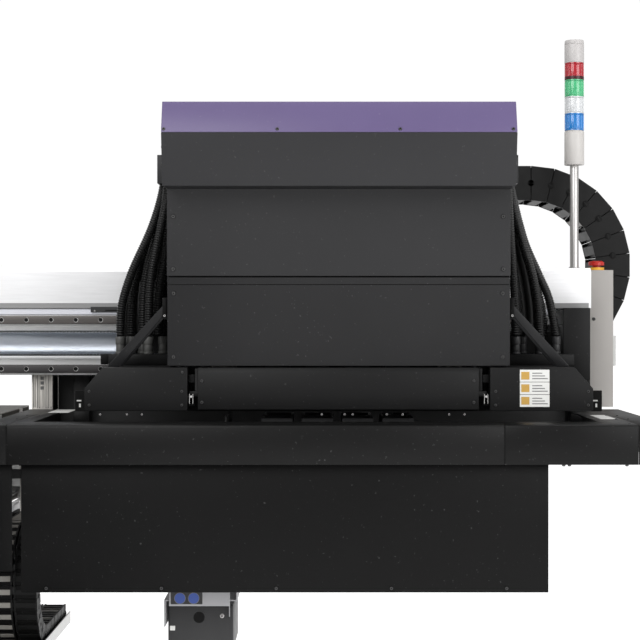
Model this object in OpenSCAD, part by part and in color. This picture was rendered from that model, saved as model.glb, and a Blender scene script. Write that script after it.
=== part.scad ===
// Large flatbed inkjet printer: moving gantry, print carriage, maintenance station, energy chains.
// Working axes: X along the beam, Y away from the operator, Z up from the floor.
// X = 0 is the middle of the operator's view, Y = 0 the front of the maintenance station.

/* [Overall] */
// width of the vacuum table along the beam
table_w = 2640; // [2200:10:3200]
// depth of the vacuum table in front of its rear deck
table_d = 1400; // [1150:10:1700]
// height of the table top above the floor
table_h = 943; // [915:1:945]
// outer radius of the carriage energy chain bend
chain_r = 255.5; // [213:0.5:306.5]

/* [Print carriage] */
// half width of the head cover
head_half = 376.7; // [314:0.1:452]
// height of the upper cover panel
upper_h = 191; // [160:1:229]
// height of the fascia under the crown
fascia_h = 112; // [94:1:134]
// height of the crown strip
crown_h = 69; // [58:1:82]
// width of each lamp box
lamp_w = 226; // [190:1:270]
// depth of each lamp box
lamp_d = 240; // [200:1:288]
// sheet thickness of the covers
sheet = 3; // [2:0.5:4]

/* [Beam] */
// height of the beam section
beam_h = 162; // [150:1:163]
// depth of the beam section
beam_d = 220; // [200:1:225]
// width of a guide rail
rail_w = 20; // [16:1:24]
// pitch of the rail fixing holes
rail_pitch = 60; // [60:10:120]

/* [Maintenance station] */
// width of the main station cover between its seams
station_w = 1040; // [900:10:1100]
// number of head caps in a row
cap_n = 4; // [2:1:4]
// number of print heads in a row
head_n = 4; // [2:1:4]

/* [Hidden] */
$fn = 48;
e = 0.4;
home_x = 41;
table_r = -770;
table_l = table_r - table_w;
table_mid = (table_l + table_r) / 2;
front_y = 400 - table_d;
trim = 20;
beam_y = 554;
beam_z = 1035;
beam_r = 655;
over_l = 470;
beam_l = table_l - over_l;
housing_w = 90;
x_min = beam_l - housing_w;
x_max = 543 + chain_r;
y_min = front_y - trim;
y_max = 952;
org_x = (x_min + x_max) / 2;
org_y = (y_min + y_max) / 2;
station_z = 950;
rail_z1 = 1168.5;
rail_z2 = 1050;
rail_t = 17.5;
belt_z1 = 1142;
belt_z2 = 1083;
pulley_r = 26.6;
belt_t = 2.4;
pulley_z = (belt_z1 + belt_z2) / 2;
pulley_y = 531;
drive_x = 597;
idler_x = beam_l + 60;
side_top = table_h - 30 - 60;
leg_y = [front_y + 150, 750];
rail_y0 = front_y + 40;
rail_y1 = 870;
lid_z = 1067.5;
upper_z0 = 1265;
upper_z1 = upper_z0 + upper_h;
fascia_z1 = upper_z1 + fascia_h;
crown_z1 = fascia_z1 + crown_h;
head_l = home_x - head_half;
head_r = home_x + head_half;
lamp_l = -517 + 226;
lamp_rr = 373;
hood_back = 470;
plate_y = 502;
lift_y = 482;
chain_y0 = 780;
chain_y1 = 945;
chain_cx = 543;
chain_h = 88;
chain_low = 1098;
chain_piv = chain_r - chain_h / 2;
chain_top = chain_low + 2 * chain_piv;
chain_cz = chain_low + chain_piv;
chain_fix = -1430;
arm_x = 190;
gc_x = [-692, -651];
gc_w = [38, 50];
gc_h = 44;
gc_r = 137;
gc_y = 197;
gc_z = 590;
gc_piv = gc_r - gc_h / 2;
gc_end = 899.7;
gc_fix = 450;
tower_x = 642;
tower_y = 704;
estop_x = 699;
estop_y = 728;
well_x0 = -616;
well_x1 = 597;
left_hoses = [
    [[-364, 400, 1484], [-374, 398, 1440], [-388, 396, 1395], [-404, 394, 1355], [-439, 392, 1277], [-461, 392, 1204], [-465, 392, 1131]],
    [[-360, 420, 1484], [-374, 420, 1440], [-388, 420, 1390], [-404, 420, 1340], [-424, 420, 1290], [-438, 420, 1240], [-443, 420, 1190], [-444, 420, 1131]],
    [[-364, 440, 1484], [-378, 442, 1430], [-388, 444, 1380], [-400, 446, 1330], [-412, 446, 1270], [-419, 446, 1210], [-420, 446, 1131]],
    [[-354, 384, 1484], [-360, 378, 1430], [-370, 376, 1380], [-382, 374, 1320], [-392, 374, 1260], [-396, 374, 1200], [-397, 374, 1131]],
    [[-350, 440, 1484], [-352, 440, 1420], [-358, 440, 1350], [-366, 440, 1280], [-370, 440, 1200], [-371, 440, 1131]]
];
right_hoses = [
    [[442, 400, 1484], [450, 398, 1440], [462, 396, 1390], [478, 394, 1330], [496, 392, 1270], [508, 392, 1200], [512, 392, 1131]],
    [[446, 420, 1484], [456, 420, 1440], [468, 420, 1392], [484, 420, 1340], [512, 420, 1277], [538, 420, 1215], [554, 420, 1131]],
    [[434, 440, 1484], [438, 442, 1420], [448, 444, 1350], [462, 446, 1280], [474, 446, 1200], [478, 446, 1131]],
    [[436, 384, 1484], [438, 372, 1420], [442, 370, 1350], [448, 370, 1270], [452, 370, 1200], [453, 370, 1131]]
];
hose_r = 11;

// A box between two corners, in the working axes.
module box(x0, x1, y0, y1, z0, z1) {
    translate([x0, y0, z0])
        cube([x1 - x0, y1 - y0, z1 - z0]);
}

// A square tube along X, Y or Z, open at both ends.
module tube(x0, x1, y0, y1, z0, z1, t, along) {
    difference() {
        box(x0, x1, y0, y1, z0, z1);
        if (along == "x") box(x0 - 1, x1 + 1, y0 + t, y1 - t, z0 + t, z1 - t);
        if (along == "y") box(x0 + t, x1 - t, y0 - 1, y1 + 1, z0 + t, z1 - t);
        if (along == "z") box(x0 + t, x1 - t, y0 + t, y1 - t, z0 - 1, z1 + 1);
    }
}

// A profile drawn in Y and Z, run along X from x0 to x1.
module along_x(x0, x1) {
    translate([x0, 0, 0])
        rotate([90, 0, 90])
            linear_extrude(x1 - x0)
                children();
}

// A cylinder along Y from y0 to y1.
module rod_y(x, z, y0, y1, r) {
    translate([x, y1, z])
        rotate([90, 0, 0])
            cylinder(r = r, h = y1 - y0);
}

// A cylinder along X from x0 to x1.
module rod_x(x0, x1, y, z, r) {
    translate([x0, y, z])
        rotate([0, 90, 0])
            cylinder(r = r, h = x1 - x0);
}

// The same thing at the right of the table and mirrored at its left.
module both_sides() {
    children();
    translate([2 * table_mid, 0, 0])
        mirror([1, 0, 0])
            children();
}

// Working axes to the row's own origin.
module place() {
    translate([-org_x, -org_y, 0])
        children();
}

// Points of a ring of n around a centre, square to a direction.
function unit(v) = v / norm(v);
function ring(c, d, r, n) = let (a = unit(cross(d, [0, 1, 0])), b = unit(cross(a, d)))
    [for (i = [0 : n - 1]) c + r * (cos(360 * i / n) * a + sin(360 * i / n) * b)];
function tangent(p, i) = unit(p[min(i + 1, len(p) - 1)] - p[max(i - 1, 0)]);

// A round hose swept along a route.
module hose(route, r, n) {
    k = len(route);
    points = [for (i = [0 : k - 1]) each ring(route[i], i == 0 || i == k - 1 ? [0, 0, -1] : tangent(route, i), r, n)];
    sides = [for (i = [0 : k - 2], j = [0 : n - 1])
        [i * n + j, i * n + (j + 1) % n, (i + 1) * n + (j + 1) % n, (i + 1) * n + j]];
    ends = [[for (j = [n - 1 : -1 : 0]) j], [for (j = [0 : n - 1]) (k - 1) * n + j]];
    polyhedron(points = points, faces = concat(sides, ends), convexity = 4);
}

// ---------------------------------------------------------------- base

module base_frame() color("gainsboro") place() {
    both_sides() {
        tube(-850, -776, front_y + 20, 880, side_top - 153, side_top, 8, "y");
        for (y = leg_y) tube(-853, -773, y - 40, y + 40, 60, side_top - 153, 6, "z");
        box(-853 + 1, -774, leg_y[0] + 40, leg_y[1] - 40, 180, 240);
        for (y = leg_y) box(-853, -773, y - 40, y + 40, 52, 60);
    }
    for (y = leg_y) tube(table_mid - 40, table_mid + 40, y - 40, y + 40, 60, side_top - 80, 6, "z");
    for (y = leg_y) box(table_mid - 40, table_mid + 40, y - 40, y + 40, 52, 60);
    tube(table_mid - 40, table_mid + 40, front_y + 20, 880, side_top - 80, side_top, 6, "y");
    for (y = [front_y + 60, front_y + 360, front_y + 660, front_y + 960, 340])
        tube(table_l + 6, table_r - 6, y - 30, y + 30, side_top, side_top + 60, 5, "x");
    for (y = [560, 840])
        tube(table_l + 6, table_r - 6, y - 30, y + 30, side_top, side_top + 60, 5, "x");
    for (y = leg_y) {
        tube(table_l + 83, table_mid - 40, y - 30, y + 30, 180, 240, 4, "x");
        tube(table_mid + 40, table_r - 83, y - 30, y + 30, 180, 240, 4, "x");
    }
    for (x = [table_mid - 420, table_mid - 140, table_mid + 380, table_mid + 900])
        tube(x - 20, x + 20, leg_y[0] + 30, leg_y[1] - 30, 200, 240, 4, "y");
    both_sides() for (y = [rail_y0 - 14, rail_y1 + 4]) difference() {
        box(-776, -742, y - 12, y + 12, 712, 752);
        rod_y(-757, 732, y - 20, y + 20, 10.05);
    }
}

module levelling_feet() color("dimgray") place()
    for (x = [table_l + 43, table_mid, table_r - 43], y = leg_y) translate([x, y, 0]) {
        cylinder(r = 45, h = 14);
        cylinder(r = 26, h = 22);
        cylinder(r = 10, h = 52);
        translate([0, 0, 40]) cylinder(r = 17, h = 8);
    }

module vacuum_table() color("silver") place() {
    box(table_l, table_r, front_y, 400, table_h - 30, table_h);
    box(table_l, table_r, front_y - trim, front_y - 0.2, table_h - 45, table_h - 1);
}

module rear_deck() color("gray") place() {
    box(table_l, table_r, 402, 900, table_h - 3, table_h);
    box(table_l, table_r, 897, 900, table_h - 60, table_h - 3);
    for (y = [560, 840]) box(table_l + 10, table_r - 10, y - 25, y + 25, side_top + 60, table_h - 3);
}

module gantry_rails() color("dimgray") place()
    both_sides() box(-776, -776 + rail_t, rail_y0, rail_y1, 790 - rail_w / 2, 790 + rail_w / 2);

module vacuum_blowers() color("slategray") place()
    for (x = [table_mid - 420, table_mid - 140]) {
        translate([x, 200, 247]) cylinder(r = 105, h = 183);
        translate([x, 200, 430]) cylinder(r = 70, h = 60);
        box(x - 120, x + 120, 90, 310, 240.3, 248);
    }

module control_cabinet() color("whitesmoke") place() {
    difference() {
        box(table_mid + 300, table_mid + 1000, -220, 280, 240.3, 740);
        box(table_mid + 303, table_mid + 997, -217, 277, 243.3, 737);
    }
    box(table_mid + 304, table_mid + 996, -224, -220.3, 256, 734);
    rod_y(table_mid + 960, 500, -236, -224, 11);
}

module gantry_chain_tray() color("gray") place() {
    top = gc_z - gc_r - 0.3;
    difference() {
        box(-704, -593, -520, gc_fix + 20, top - 3, top + 24);
        box(-701, -596, -521, gc_fix + 21, top, top + 25);
    }
    for (y = [-440, -60, 380]) {
        box(-800, -640, y - 20, y + 20, top - 23, top - 3);
        box(-800, -790, y - 20, y + 20, top - 4, side_top - 153.3);
    }
}

// Straight run of chain links, hollow frames side by side along Y.
module run_y(x0, w, y0, y1, z) {
    n = ceil((y1 - y0) / 50);
    p = (y1 - y0) / n;
    for (i = [0 : n - 1])
        tube(x0, x0 + w, y0 + i * p + 0.2, y0 + (i + 1) * p - 0.2, z - gc_h / 2, z + gc_h / 2, 4, "y");
}

module gantry_chain_lower() color("dimgray") place()
    for (k = [0, 1]) run_y(gc_x[k], gc_w[k], gc_y, gc_fix, gc_z - gc_piv);

module gantry_chain_upper() color("dimgray") place()
    for (k = [0, 1]) run_y(gc_x[k], gc_w[k], gc_y, gc_end, gc_z + gc_piv);

// One link of a bend, as a hollow sector turned from the lowest point.
module bend_link(r, h, w, t, a0, a1) {
    rotate([0, 0, a0]) rotate_extrude(angle = a1 - a0) difference() {
        translate([r - h / 2, 0]) square([h, w]);
        translate([r - h / 2 + t, t]) square([h - 2 * t, w - 2 * t]);
    }
}

module gantry_chain_loop() color("dimgray") place()
    for (k = [0, 1]) translate([gc_x[k], gc_y, gc_z]) rotate([90, 0, 90])
        for (i = [0 : 11]) bend_link(gc_piv, gc_h, gc_w[k], 4, 90 + i * 15 + 0.15, 105 + i * 15 - 0.15);

// ---------------------------------------------------------------- gantry drive

module screw() {
    rod_y(-757, 732, rail_y0 - 24, rail_y1 + 14, 10);
    rod_y(-757, 732, rail_y1 + 20, rail_y1 + 34, 20);
    rod_y(-757, 732, rail_y1 + 14, rail_y1 + 20, 8);
}

module ball_screw_right() color("silver") place() screw();

module ball_screw_left() color("silver") place()
    translate([2 * table_mid, 0, 0]) mirror([1, 0, 0]) screw();

module gantry_side_plates() color("silver") place() {
    both_sides() {
        box(-707, -655, 587, 760, 736, beam_z);
        box(-727, -707, 540, 930, 700, 935);
    }
    box(-707, -592, 900, 930, gc_z + gc_piv - gc_h / 2 - 2, gc_z + gc_piv + gc_h / 2 + 4);
}

module gantry_runners() color("gray") place()
    both_sides() {
        for (y = [580, 840]) difference() {
            box(-774, -727, y - 35, y + 35, 765, 815);
            box(-777, -776 + rail_t + e, y - 40, y + 40, 790 - rail_w / 2 - e, 790 + rail_w / 2 + e);
        }
        difference() {
            box(-773, -727, 680, 740, 714, 750);
            rod_y(-757, 732, 670, 750, 10.05);
        }
    }

// ---------------------------------------------------------------- beam

module beam() color("silver") place()
    along_x(beam_l, beam_r) difference() {
        polygon([[beam_y, beam_z], [beam_y + beam_d, beam_z], [beam_y + beam_d, beam_z + beam_h],
            [beam_y, beam_z + beam_h], [beam_y, belt_z1 + 10], [beam_y + 14, belt_z1 - 6],
            [beam_y + 14, belt_z2 + 6], [beam_y, belt_z2 - 10]]);
        translate([beam_y + 24, beam_z + 10]) square([beam_d - 34, beam_h - 20]);
    }

module beam_top_cover() color("white") place()
    along_x(beam_l, 658) difference() {
        polygon([[beam_y - 8, 1197.3], [beam_y - 8, 1286], [beam_y + 1, 1295], [beam_y + beam_d - 2, 1295],
            [beam_y + beam_d - 2, 1197.3]]);
        polygon([[beam_y - 6, 1197], [beam_y - 6, 1285], [beam_y + 2, 1293], [beam_y + beam_d - 4, 1293],
            [beam_y + beam_d - 4, 1197]]);
    }

module beam_rails() color("dimgray") place()
    difference() {
        for (z = [rail_z1, rail_z2])
            box(beam_l + 95, 520, beam_y - rail_t, beam_y, z - rail_w / 2, z + rail_w / 2);
        for (z = [rail_z1, rail_z2], x = [-1180 : rail_pitch : -400])
            rod_y(x, z, beam_y - rail_t - 1, beam_y - rail_t + 8, 4.75);
    }

module drive_belt() color("black") place() {
    for (z = [belt_z1, belt_z2])
        box(idler_x, drive_x, pulley_y - 12, pulley_y + 12, z - belt_t / 2, z + belt_t / 2);
    difference() {
        for (x = [idler_x, drive_x]) rod_y(x, pulley_z, pulley_y - 12, pulley_y + 12, 29.5 + belt_t / 2);
        for (x = [idler_x, drive_x]) rod_y(x, pulley_z, pulley_y - 13, pulley_y + 13, 29.5 - belt_t / 2);
        box(idler_x, drive_x, pulley_y - 13, pulley_y + 13, pulley_z - 40, pulley_z + 40);
    }
}

module pulley(x) {
    rod_y(x, pulley_z, pulley_y - 12.5, pulley_y + 12.5, 28);
    rod_y(x, pulley_z, pulley_y - 16, pulley_y - 12.5, 26);
    rod_y(x, pulley_z, pulley_y + 12.5, beam_y + 13.7, 8);
}

module drive_pulley() color("silver") place() pulley(drive_x);

module idler_pulley() color("silver") place() pulley(idler_x);

module drive_motor() color("dimgray") place() {
    difference() {
        box(drive_x - 45, drive_x + 45, beam_y - 4.3, beam_y - 0.3, pulley_z - 45, pulley_z + 45);
        rod_y(drive_x, pulley_z, beam_y - 6, beam_y + 1, 9);
    }
    box(drive_x - 34, drive_x + 34, 440, pulley_y - 20, pulley_z - 43, pulley_z + 43);
    for (z = [pulley_z - 42, pulley_z + 38])
        box(drive_x - 20, drive_x + 20, pulley_y - 21, beam_y - 4, z, z + 4);
}

module beam_right_cover() color("black") place() {
    box(beam_r, 675, 660.3, beam_y + beam_d, station_z, 1197);
    box(571, 634.5, 420, 423, 1028, 1197);
    box(571, 634.5, 422, 553.7, 1194, 1197);
    box(632, 634.5, 422, 549.4, 1028, 1196);
}

module beam_left_housing() color("gainsboro") place() {
    difference() {
        box(beam_l - housing_w, beam_l, 470, beam_y + beam_d + 10, beam_z - 10, 1300);
        box(beam_l - housing_w + 3, beam_l + 1, 473, beam_y + beam_d + 7, beam_z - 7, 1297);
    }
    box(beam_l - 6, beam_l - 0.3, 472, beam_y + beam_d + 8, beam_z - 8, beam_z + beam_h);
    difference() {
        box(beam_l, beam_l + 90, 470, beam_y - 9, beam_z - 10, 1300);
        box(beam_l - 1, beam_l + 87, 473, beam_y - 8, beam_z - 7, 1297);
        box(beam_l + 80, beam_l + 95, pulley_y - 16, pulley_y + 16, pulley_z - 38, pulley_z + 38);
    }
}

module end_post() color("silver") place() {
    difference() {
        box(677, 737, 685, 742, station_z, 1294);
        box(680, 734, 688, 739, station_z - 1, 1291);
        translate([estop_x, estop_y - 14, 1280]) cylinder(r = 12, h = 20);
    }
    box(675, 677, 690, 737, 1000, 1180);
}

module estop_base() color("gold") place()
    translate([estop_x, estop_y - 14, 0]) difference() {
        translate([0, 0, 1294.2]) cylinder(r = 20, h = 6.8);
        translate([0, 0, 1290]) cylinder(r = 11.08, h = 20);
    }

module estop_button() color("red") place()
    translate([estop_x, estop_y - 14, 0]) {
        translate([0, 0, 1295.5]) cylinder(r = 11, h = 11);
        translate([0, 0, 1306.4]) cylinder(r = 20, h = 8);
        translate([0, 0, 1314.4]) cylinder(r1 = 20, r2 = 15, h = 3);
    }

module tower_pole() color("silver") place()
    translate([tower_x, tower_y, 1295]) {
        cylinder(r = 10.85, h = 264.5);
        cylinder(r = 15, h = 5);
    }

module tower_housing() color("whitesmoke") place()
    translate([tower_x, tower_y, 0]) {
        translate([0, 0, 1559.5]) cylinder(r = 25, h = 86.5);
        translate([0, 0, 1816.4]) cylinder(r = 25, h = 49);
        translate([0, 0, 1865.4]) cylinder(r1 = 25, r2 = 19, h = 8);
        translate([0, 0, 1646]) cylinder(r = 6, h = 170.4);
    }

module tower_lenses() color("red") place()
    for (i = [0 : 3]) translate([tower_x, tower_y, 1646.2 + i * 42.55]) difference() {
        cylinder(r = 24, h = 42.2);
        translate([0, 0, -1]) cylinder(r = 20, h = 50);
    }

// ---------------------------------------------------------------- maintenance station

module station_frame() color("silver") place() {
    box(-610, -570, 40, 620, 820, 860);
    box(-610, -570, 620, 660, 760, beam_z);
    box(620, 660, 40, 620, 866, 895.6);
    box(620, 660, 620, 660, 866, beam_z);
    box(-570, 470, 40, 80, 820, 860);
    box(-570, 555, 560, 600, 820, 860);
    box(-655, -610, 600, 640, 820, 860);
    for (x = [-250, 420]) box(x - 20, x + 20, 80, 560, 820, 860);
    for (x = [-200, 0]) box(x - 20, x + 20, 560, 600, 560, 820);
}

module cover_top(x0, x1) {
    along_x(x0 + 0.4, x1 - 0.4) polygon([[0, 866.4], [0, station_z - 7], [2, station_z - 2], [7, station_z],
        [100, station_z], [100, station_z - sheet], [8, station_z - sheet], [sheet, station_z - 8],
        [sheet, 866.4]]);
    box(x0 + 0.4, x1 - 0.4, 560, 584, station_z - sheet, station_z);
}

module station_covers() color("dimgray") place() {
    x0 = 385.5 - station_w;
    x1 = 385.5;
    cover_top(x0, x1);
    cover_top(x1, 665);
    box(x0 + 0.4, well_x0, 100, 560, station_z - sheet, station_z);
    box(well_x1, 664.6, 100, 560, station_z - sheet, station_z);
    cover_top(665, 731);
    box(665.4, 730.6, 100, 560, station_z - sheet, station_z);
    box(727.6, 730.6, 1, 580, 867, station_z - 1);
    cover_top(x0 - 56, x0);
    box(x0 - 55.6, x0 - 0.4, 100, 560, station_z - sheet, station_z);
    box(x0 + 17, x0 + 23, 50, 560, 860, station_z - sheet);
    box(637, 643, 50, 560, 896, station_z - sheet);
    for (x = [x0 - 28, 697]) box(x - 4, x + 4, 12, 580, 900, station_z - sheet);
    box(x0 - 32, x0 + 23, 80, 560, 896, 900);
    box(640, 701, 80, 560, 896, 900);
}

module station_skirt() color("black") place() {
    box(-628, 480, 24, 27, 596, 866);
    for (x = [-480, 300]) box(x - 15, x + 15, 27, 40, 700, 858);
    along_x(-705, -647) polygon([[24, 640], [27, 640], [27, 866], [24, 866]]);
    box(-680, -610, 27, 33, 835, 855);
    box(-752, -716, 545, 640, 600, 699.7);
}

module station_back_panel() color("black") place() {
    difference() {
        box(-654, 612, 661, 664, 740, beam_z);
        box(-700, -630, 660, 665, 700, 860);
        box(565, 620, 660, 665, 700, 866);
    }
}

module drip_tray() color("dimgray") place()
    difference() {
        box(-540, 590, 101, 559, 860.3, 890);
        box(-537, 587, 104, 556, 863.3, 891);
    }

module waste_holder() color("gray") place() {
    box(-340, -180, 150, 400, 556, 559);
    box(-340, -337, 150, 400, 500, 557);
    box(-183, -180, 150, 340, 559, 598);
    box(-180, -150, 150, 340, 595, 598);
    for (x = [-300, -220]) box(x - 8, x + 8, 400, 560, 556, 564);
    for (x = [-200]) box(x - 40, x + 20, 560, 563, 540, 558);
}

module waste_tank() color("black") place() {
    difference() {
        box(-333, -190, 170, 380, 440, 545);
        box(-329, -194, 174, 376, 444, 541);
    }
    translate([-262, 275, 545]) cylinder(r = 30, h = 10.7);
}

module cap_tray() color("gray") place() {
    box(home_x - 190, home_x + 190, 200, 470, 904, 912);
    for (i = [0 : cap_n - 1], j = [0, 1]) difference() {
        box(home_x - 172 + i * 90, home_x - 102 + i * 90, 225 + j * 120, 325 + j * 120, 912, 950);
        box(home_x - 166 + i * 90, home_x - 108 + i * 90, 231 + j * 120, 319 + j * 120, 930, 951);
    }
    for (x = [home_x - 150, home_x + 150]) translate([x, 335, 863.6]) cylinder(r = 12, h = 40.4);
}

module wiper() color("gray") place() {
    box(-262, -158, 200, 450, 904, 916);
    for (y = [225, 340]) box(-212, -208, y, y + 90, 916, 955);
    for (y = [220, 335]) box(-224, -196, y, y + 100, 916, 928);
    translate([-210, 325, 863.6]) cylinder(r = 14, h = 40.4);
}

// ---------------------------------------------------------------- carriage energy chain

module carriage_chain_tray() color("gray") place() {
    top = chain_low - chain_h / 2 - 0.3;
    along_x(chain_fix - 100, 760) polygon([[chain_y0 - 6, top - 3], [chain_y1 + 7, top - 3],
        [chain_y1 + 7, top + 74], [chain_y1 + 4, top + 74], [chain_y1 + 4, top], [chain_y0 - 3, top],
        [chain_y0 - 3, top + 74], [chain_y0 - 6, top + 74]]);
    along_x(beam_l + 20, chain_fix - 100) polygon([[chain_y0 - 6, top - 3], [chain_y1 + 7, top - 3],
        [chain_y1 + 7, top], [chain_y0 - 6, top]]);
    for (x = [beam_l + 200, beam_l + 900, beam_l + 1600, -1200, -300, 500])
        box(x - 20, x + 20, beam_y + beam_d + 0.3, chain_y1 - 30, top - 23, top - 3);
}

// Straight run of chain links along X.
module run_x(x0, x1, z) {
    n = ceil((x1 - x0) / 56);
    p = (x1 - x0) / n;
    for (i = [0 : n - 1])
        tube(x0 + i * p + 0.2, x0 + (i + 1) * p - 0.2, chain_y0, chain_y1, z - chain_h / 2, z + chain_h / 2, 7, "x");
}

module carriage_chain_lower() color("dimgray") place() run_x(chain_fix, chain_cx, chain_low);

module carriage_chain_upper() color("dimgray") place() run_x(arm_x, chain_cx, chain_top);

module carriage_chain_loop() color("dimgray") place()
    translate([chain_cx, chain_y1, chain_cz]) rotate([90, 0, 0])
        for (i = [0 : 11])
            bend_link(chain_piv, chain_h, chain_y1 - chain_y0, 7, -90 + i * 15 + 0.1, -75 + i * 15 - 0.1);

// ---------------------------------------------------------------- carriage

module runner(x, z) {
    difference() {
        box(x - 35, x + 35, plate_y + 14, beam_y - 5, z - 22, z + 22);
        box(x - 40, x + 40, beam_y - rail_t - e, beam_y, z - rail_w / 2 - e, z + rail_w / 2 + e);
    }
}

module carriage_plate() color("silver") place() {
    box(home_x - 300, home_x + 300, plate_y, plate_y + 14, 1012, 1420);
    for (x = [home_x - 240, home_x + 240], z = [rail_z1, rail_z2]) runner(x, z);
    for (z = [belt_z1 - 12, belt_z1 + belt_t / 2 + e])
        box(home_x - 40, home_x + 40, plate_y + 14, pulley_y + 10, z, z + 10.4);
    for (x = [home_x - 296, home_x + 284]) box(x, x + 12, plate_y + 14, beam_y - 10, 1200, 1420);
}

module chain_arm() color("gray") place() {
    box(home_x - 270, home_x + 270, plate_y + 14, chain_y1, 1304, 1310);
    box(arm_x - 60, arm_x - 40, plate_y + 14, chain_y1, 1310, chain_top - chain_h / 2);
    box(home_x - 100, home_x - 80, plate_y + 14, chain_y1 - 60, 1310, 1400);
    box(arm_x - 110, arm_x - 0.3, chain_y0 - 4, chain_y1 + 4, chain_top - chain_h / 2, chain_top - chain_h / 2 + 6);
    box(arm_x - 6.3, arm_x - 0.3, chain_y0 + 20, chain_y1 - 20, chain_top - chain_h / 2 + 6, chain_top + 30);
}

module lift_unit() color("dimgray") place() {
    for (x = [home_x - 200, home_x + 200]) box(x - 10, x + 10, plate_y - 12, plate_y, 1030, 1400);
    box(home_x - 40, home_x + 40, 470, plate_y, 1347, 1362);
    box(home_x - 30, home_x + 30, 446, plate_y, 1362, 1412);
    difference() {
        box(home_x - 40, home_x + 40, 470, plate_y, 1040, 1055);
        translate([home_x, lift_y, 1030]) cylinder(r = 8.05, h = 40);
    }
}

module lift_screw() color("silver") place()
    translate([home_x, lift_y, 1041]) cylinder(r = 8, h = 305.7);

// ---------------------------------------------------------------- print head unit

module head_base_plate() color("silver") place() {
    difference() {
        box(head_l + 48, head_r - 50, 185, 466, 1000, 1012);
        for (i = [0 : head_n - 1], j = [0, 1])
            box(home_x - 166 + i * 90, home_x - 108 + i * 90, 231 + j * 120, 319 + j * 120, 999, 1013);
    }
    box(home_x - 238, home_x + 238, 456, 466, 1012, 1290);
    for (x = [home_x - 200, home_x + 200], z = [1090, 1250]) difference() {
        box(x - 24, x + 24, 466, plate_y - 2, z - 30, z + 30);
        box(x - 10 - e, x + 10 + e, plate_y - 12 - e, plate_y, z - 31, z + 31);
    }
    difference() {
        box(home_x - 22, home_x + 22, 466, plate_y - 2, 1180, 1220);
        translate([home_x, lift_y, 1170]) cylinder(r = 8.06, h = 60);
    }
    for (x = [home_x - 317, home_x + 305]) box(x, x + 12, 190, 456, 1012, 1062);
}

module print_heads() color("gray") place()
    for (i = [0 : head_n - 1], j = [0, 1]) {
        x = home_x - 137 + i * 90;
        y = 275 + j * 120;
        box(x - 28.6, x + 28.6, y - 43.6, y + 43.6, 976, 1013);
        box(x - 34, x + 34, y - 50, y + 50, 1012.3, 1018);
        box(x - 26, x + 26, y - 40, y + 40, 1018, 1110);
    }

module ink_tanks() color("dimgray") place() {
    box(home_x - 240, home_x + 240, 260, 455.7, 1228, 1234);
    for (x = [home_x - 240, home_x + 234]) box(x, x + 6, 330, 455.7, 1150, 1228);
    for (i = [0 : 7]) {
        box(home_x - 234 + i * 60, home_x - 188 + i * 60, 300, 440, 1234, 1400);
        translate([home_x - 211 + i * 60, 370, 1400]) cylinder(r = 12, h = 14);
    }
}

module cover_shell() color("dimgray") place() {
    for (x = [head_l + 0.5, head_r - sheet - 0.5])
        along_x(x, x + sheet) difference() {
            polygon([[190, lid_z], [hood_back, lid_z], [hood_back, crown_z1 - sheet], [100, crown_z1 - sheet],
                [100, fascia_z1], [180, upper_z1 + 2], [180, 1262], [190, 1246]]);
            translate([336, upper_z1 + 36]) square([118, 50]);
        }
    box(head_l + 0.5, head_r - 0.5, 98, hood_back, crown_z1 - sheet, crown_z1);
    box(head_l + sheet + 0.5, head_r - sheet - 0.5, hood_back - sheet, hood_back, 1430, crown_z1 - sheet);
    for (k = [0, 1]) mirrored_head(k) {
        difference() {
            box(head_r - 0.5, head_r + 40.5, 360, 460, upper_z1 + 28, 1550);
            box(head_r - 1, head_r + 37.5, 363, 457, upper_z1 + 31, 1547);
            box(head_r + 4, head_r + 36, 366, 452, upper_z1 + 20, upper_z1 + 40);
        }
    }
    for (x = [head_l + 0.5, head_r - 12.5]) box(x, x + 12, 240, 350, 1064.3, lid_z + 4);
    for (k = [0, 1], z = [1110, 1230]) mirrored_head(k) box(head_l + sheet, home_x - 238.4, 458, 462, z, z + 30);
}

module mirrored_head(k) {
    if (k == 0) children();
    if (k == 1) translate([2 * home_x, 0, 0]) mirror([1, 0, 0]) children();
}

module cover_fascia() color("dimgray") place()
    along_x(head_l - 2.8, head_r + 2.8)
        polygon([[67, fascia_z1], [94, upper_z1], [94 + sheet, upper_z1], [70, fascia_z1 - 2],
            [99.7, fascia_z1 - 2], [99.7, fascia_z1]]);

module cover_crown() color("purple") place()
    along_x(head_l - 2.8, head_r + 2.8)
        polygon([[67, fascia_z1 + 0.3], [97, fascia_z1 + 0.3], [97, fascia_z1 + 3], [71, fascia_z1 + 3],
            [97, crown_z1 - 3], [97, crown_z1], [94, crown_z1]]);

module cover_front_panels() color("dimgray") place() {
    along_x(head_l, head_r) polygon([[171, upper_z0], [171, upper_z1 - 0.5], [97.2, upper_z1 - 0.5],
        [97.2, upper_z1 + 2], [171 + sheet, upper_z1 + 2], [171 + sheet, upper_z0]]);
    along_x(head_l, head_r) polygon([[174, 1262], [182, 1246.6], [182, lid_z], [182 + sheet, lid_z],
        [182 + sheet, 1247], [177, 1262]]);
    for (x = [head_l, head_r - 30]) box(x, x + 30, 170.5 + sheet, 179.7, upper_z0 + 2, upper_z0 + 14);
    for (x = [head_l, head_r - 30]) box(x, x + 30, 181.5 + sheet, 189.7, lid_z, lid_z + 40);
}

module base_panel() color("black") place() {
    along_x(home_x - 309, home_x + 307.5)
        polygon([[171, 972], [171, 1052], [176, 1064], [184.5, 1064], [184.5, 1061], [178, 1061], [174, 1051],
            [174, 972]]);
    for (x = [home_x - 309, home_x + 299.5]) box(x, x + 8, 173.5, 189.7, 1013, 1048);
}

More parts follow.
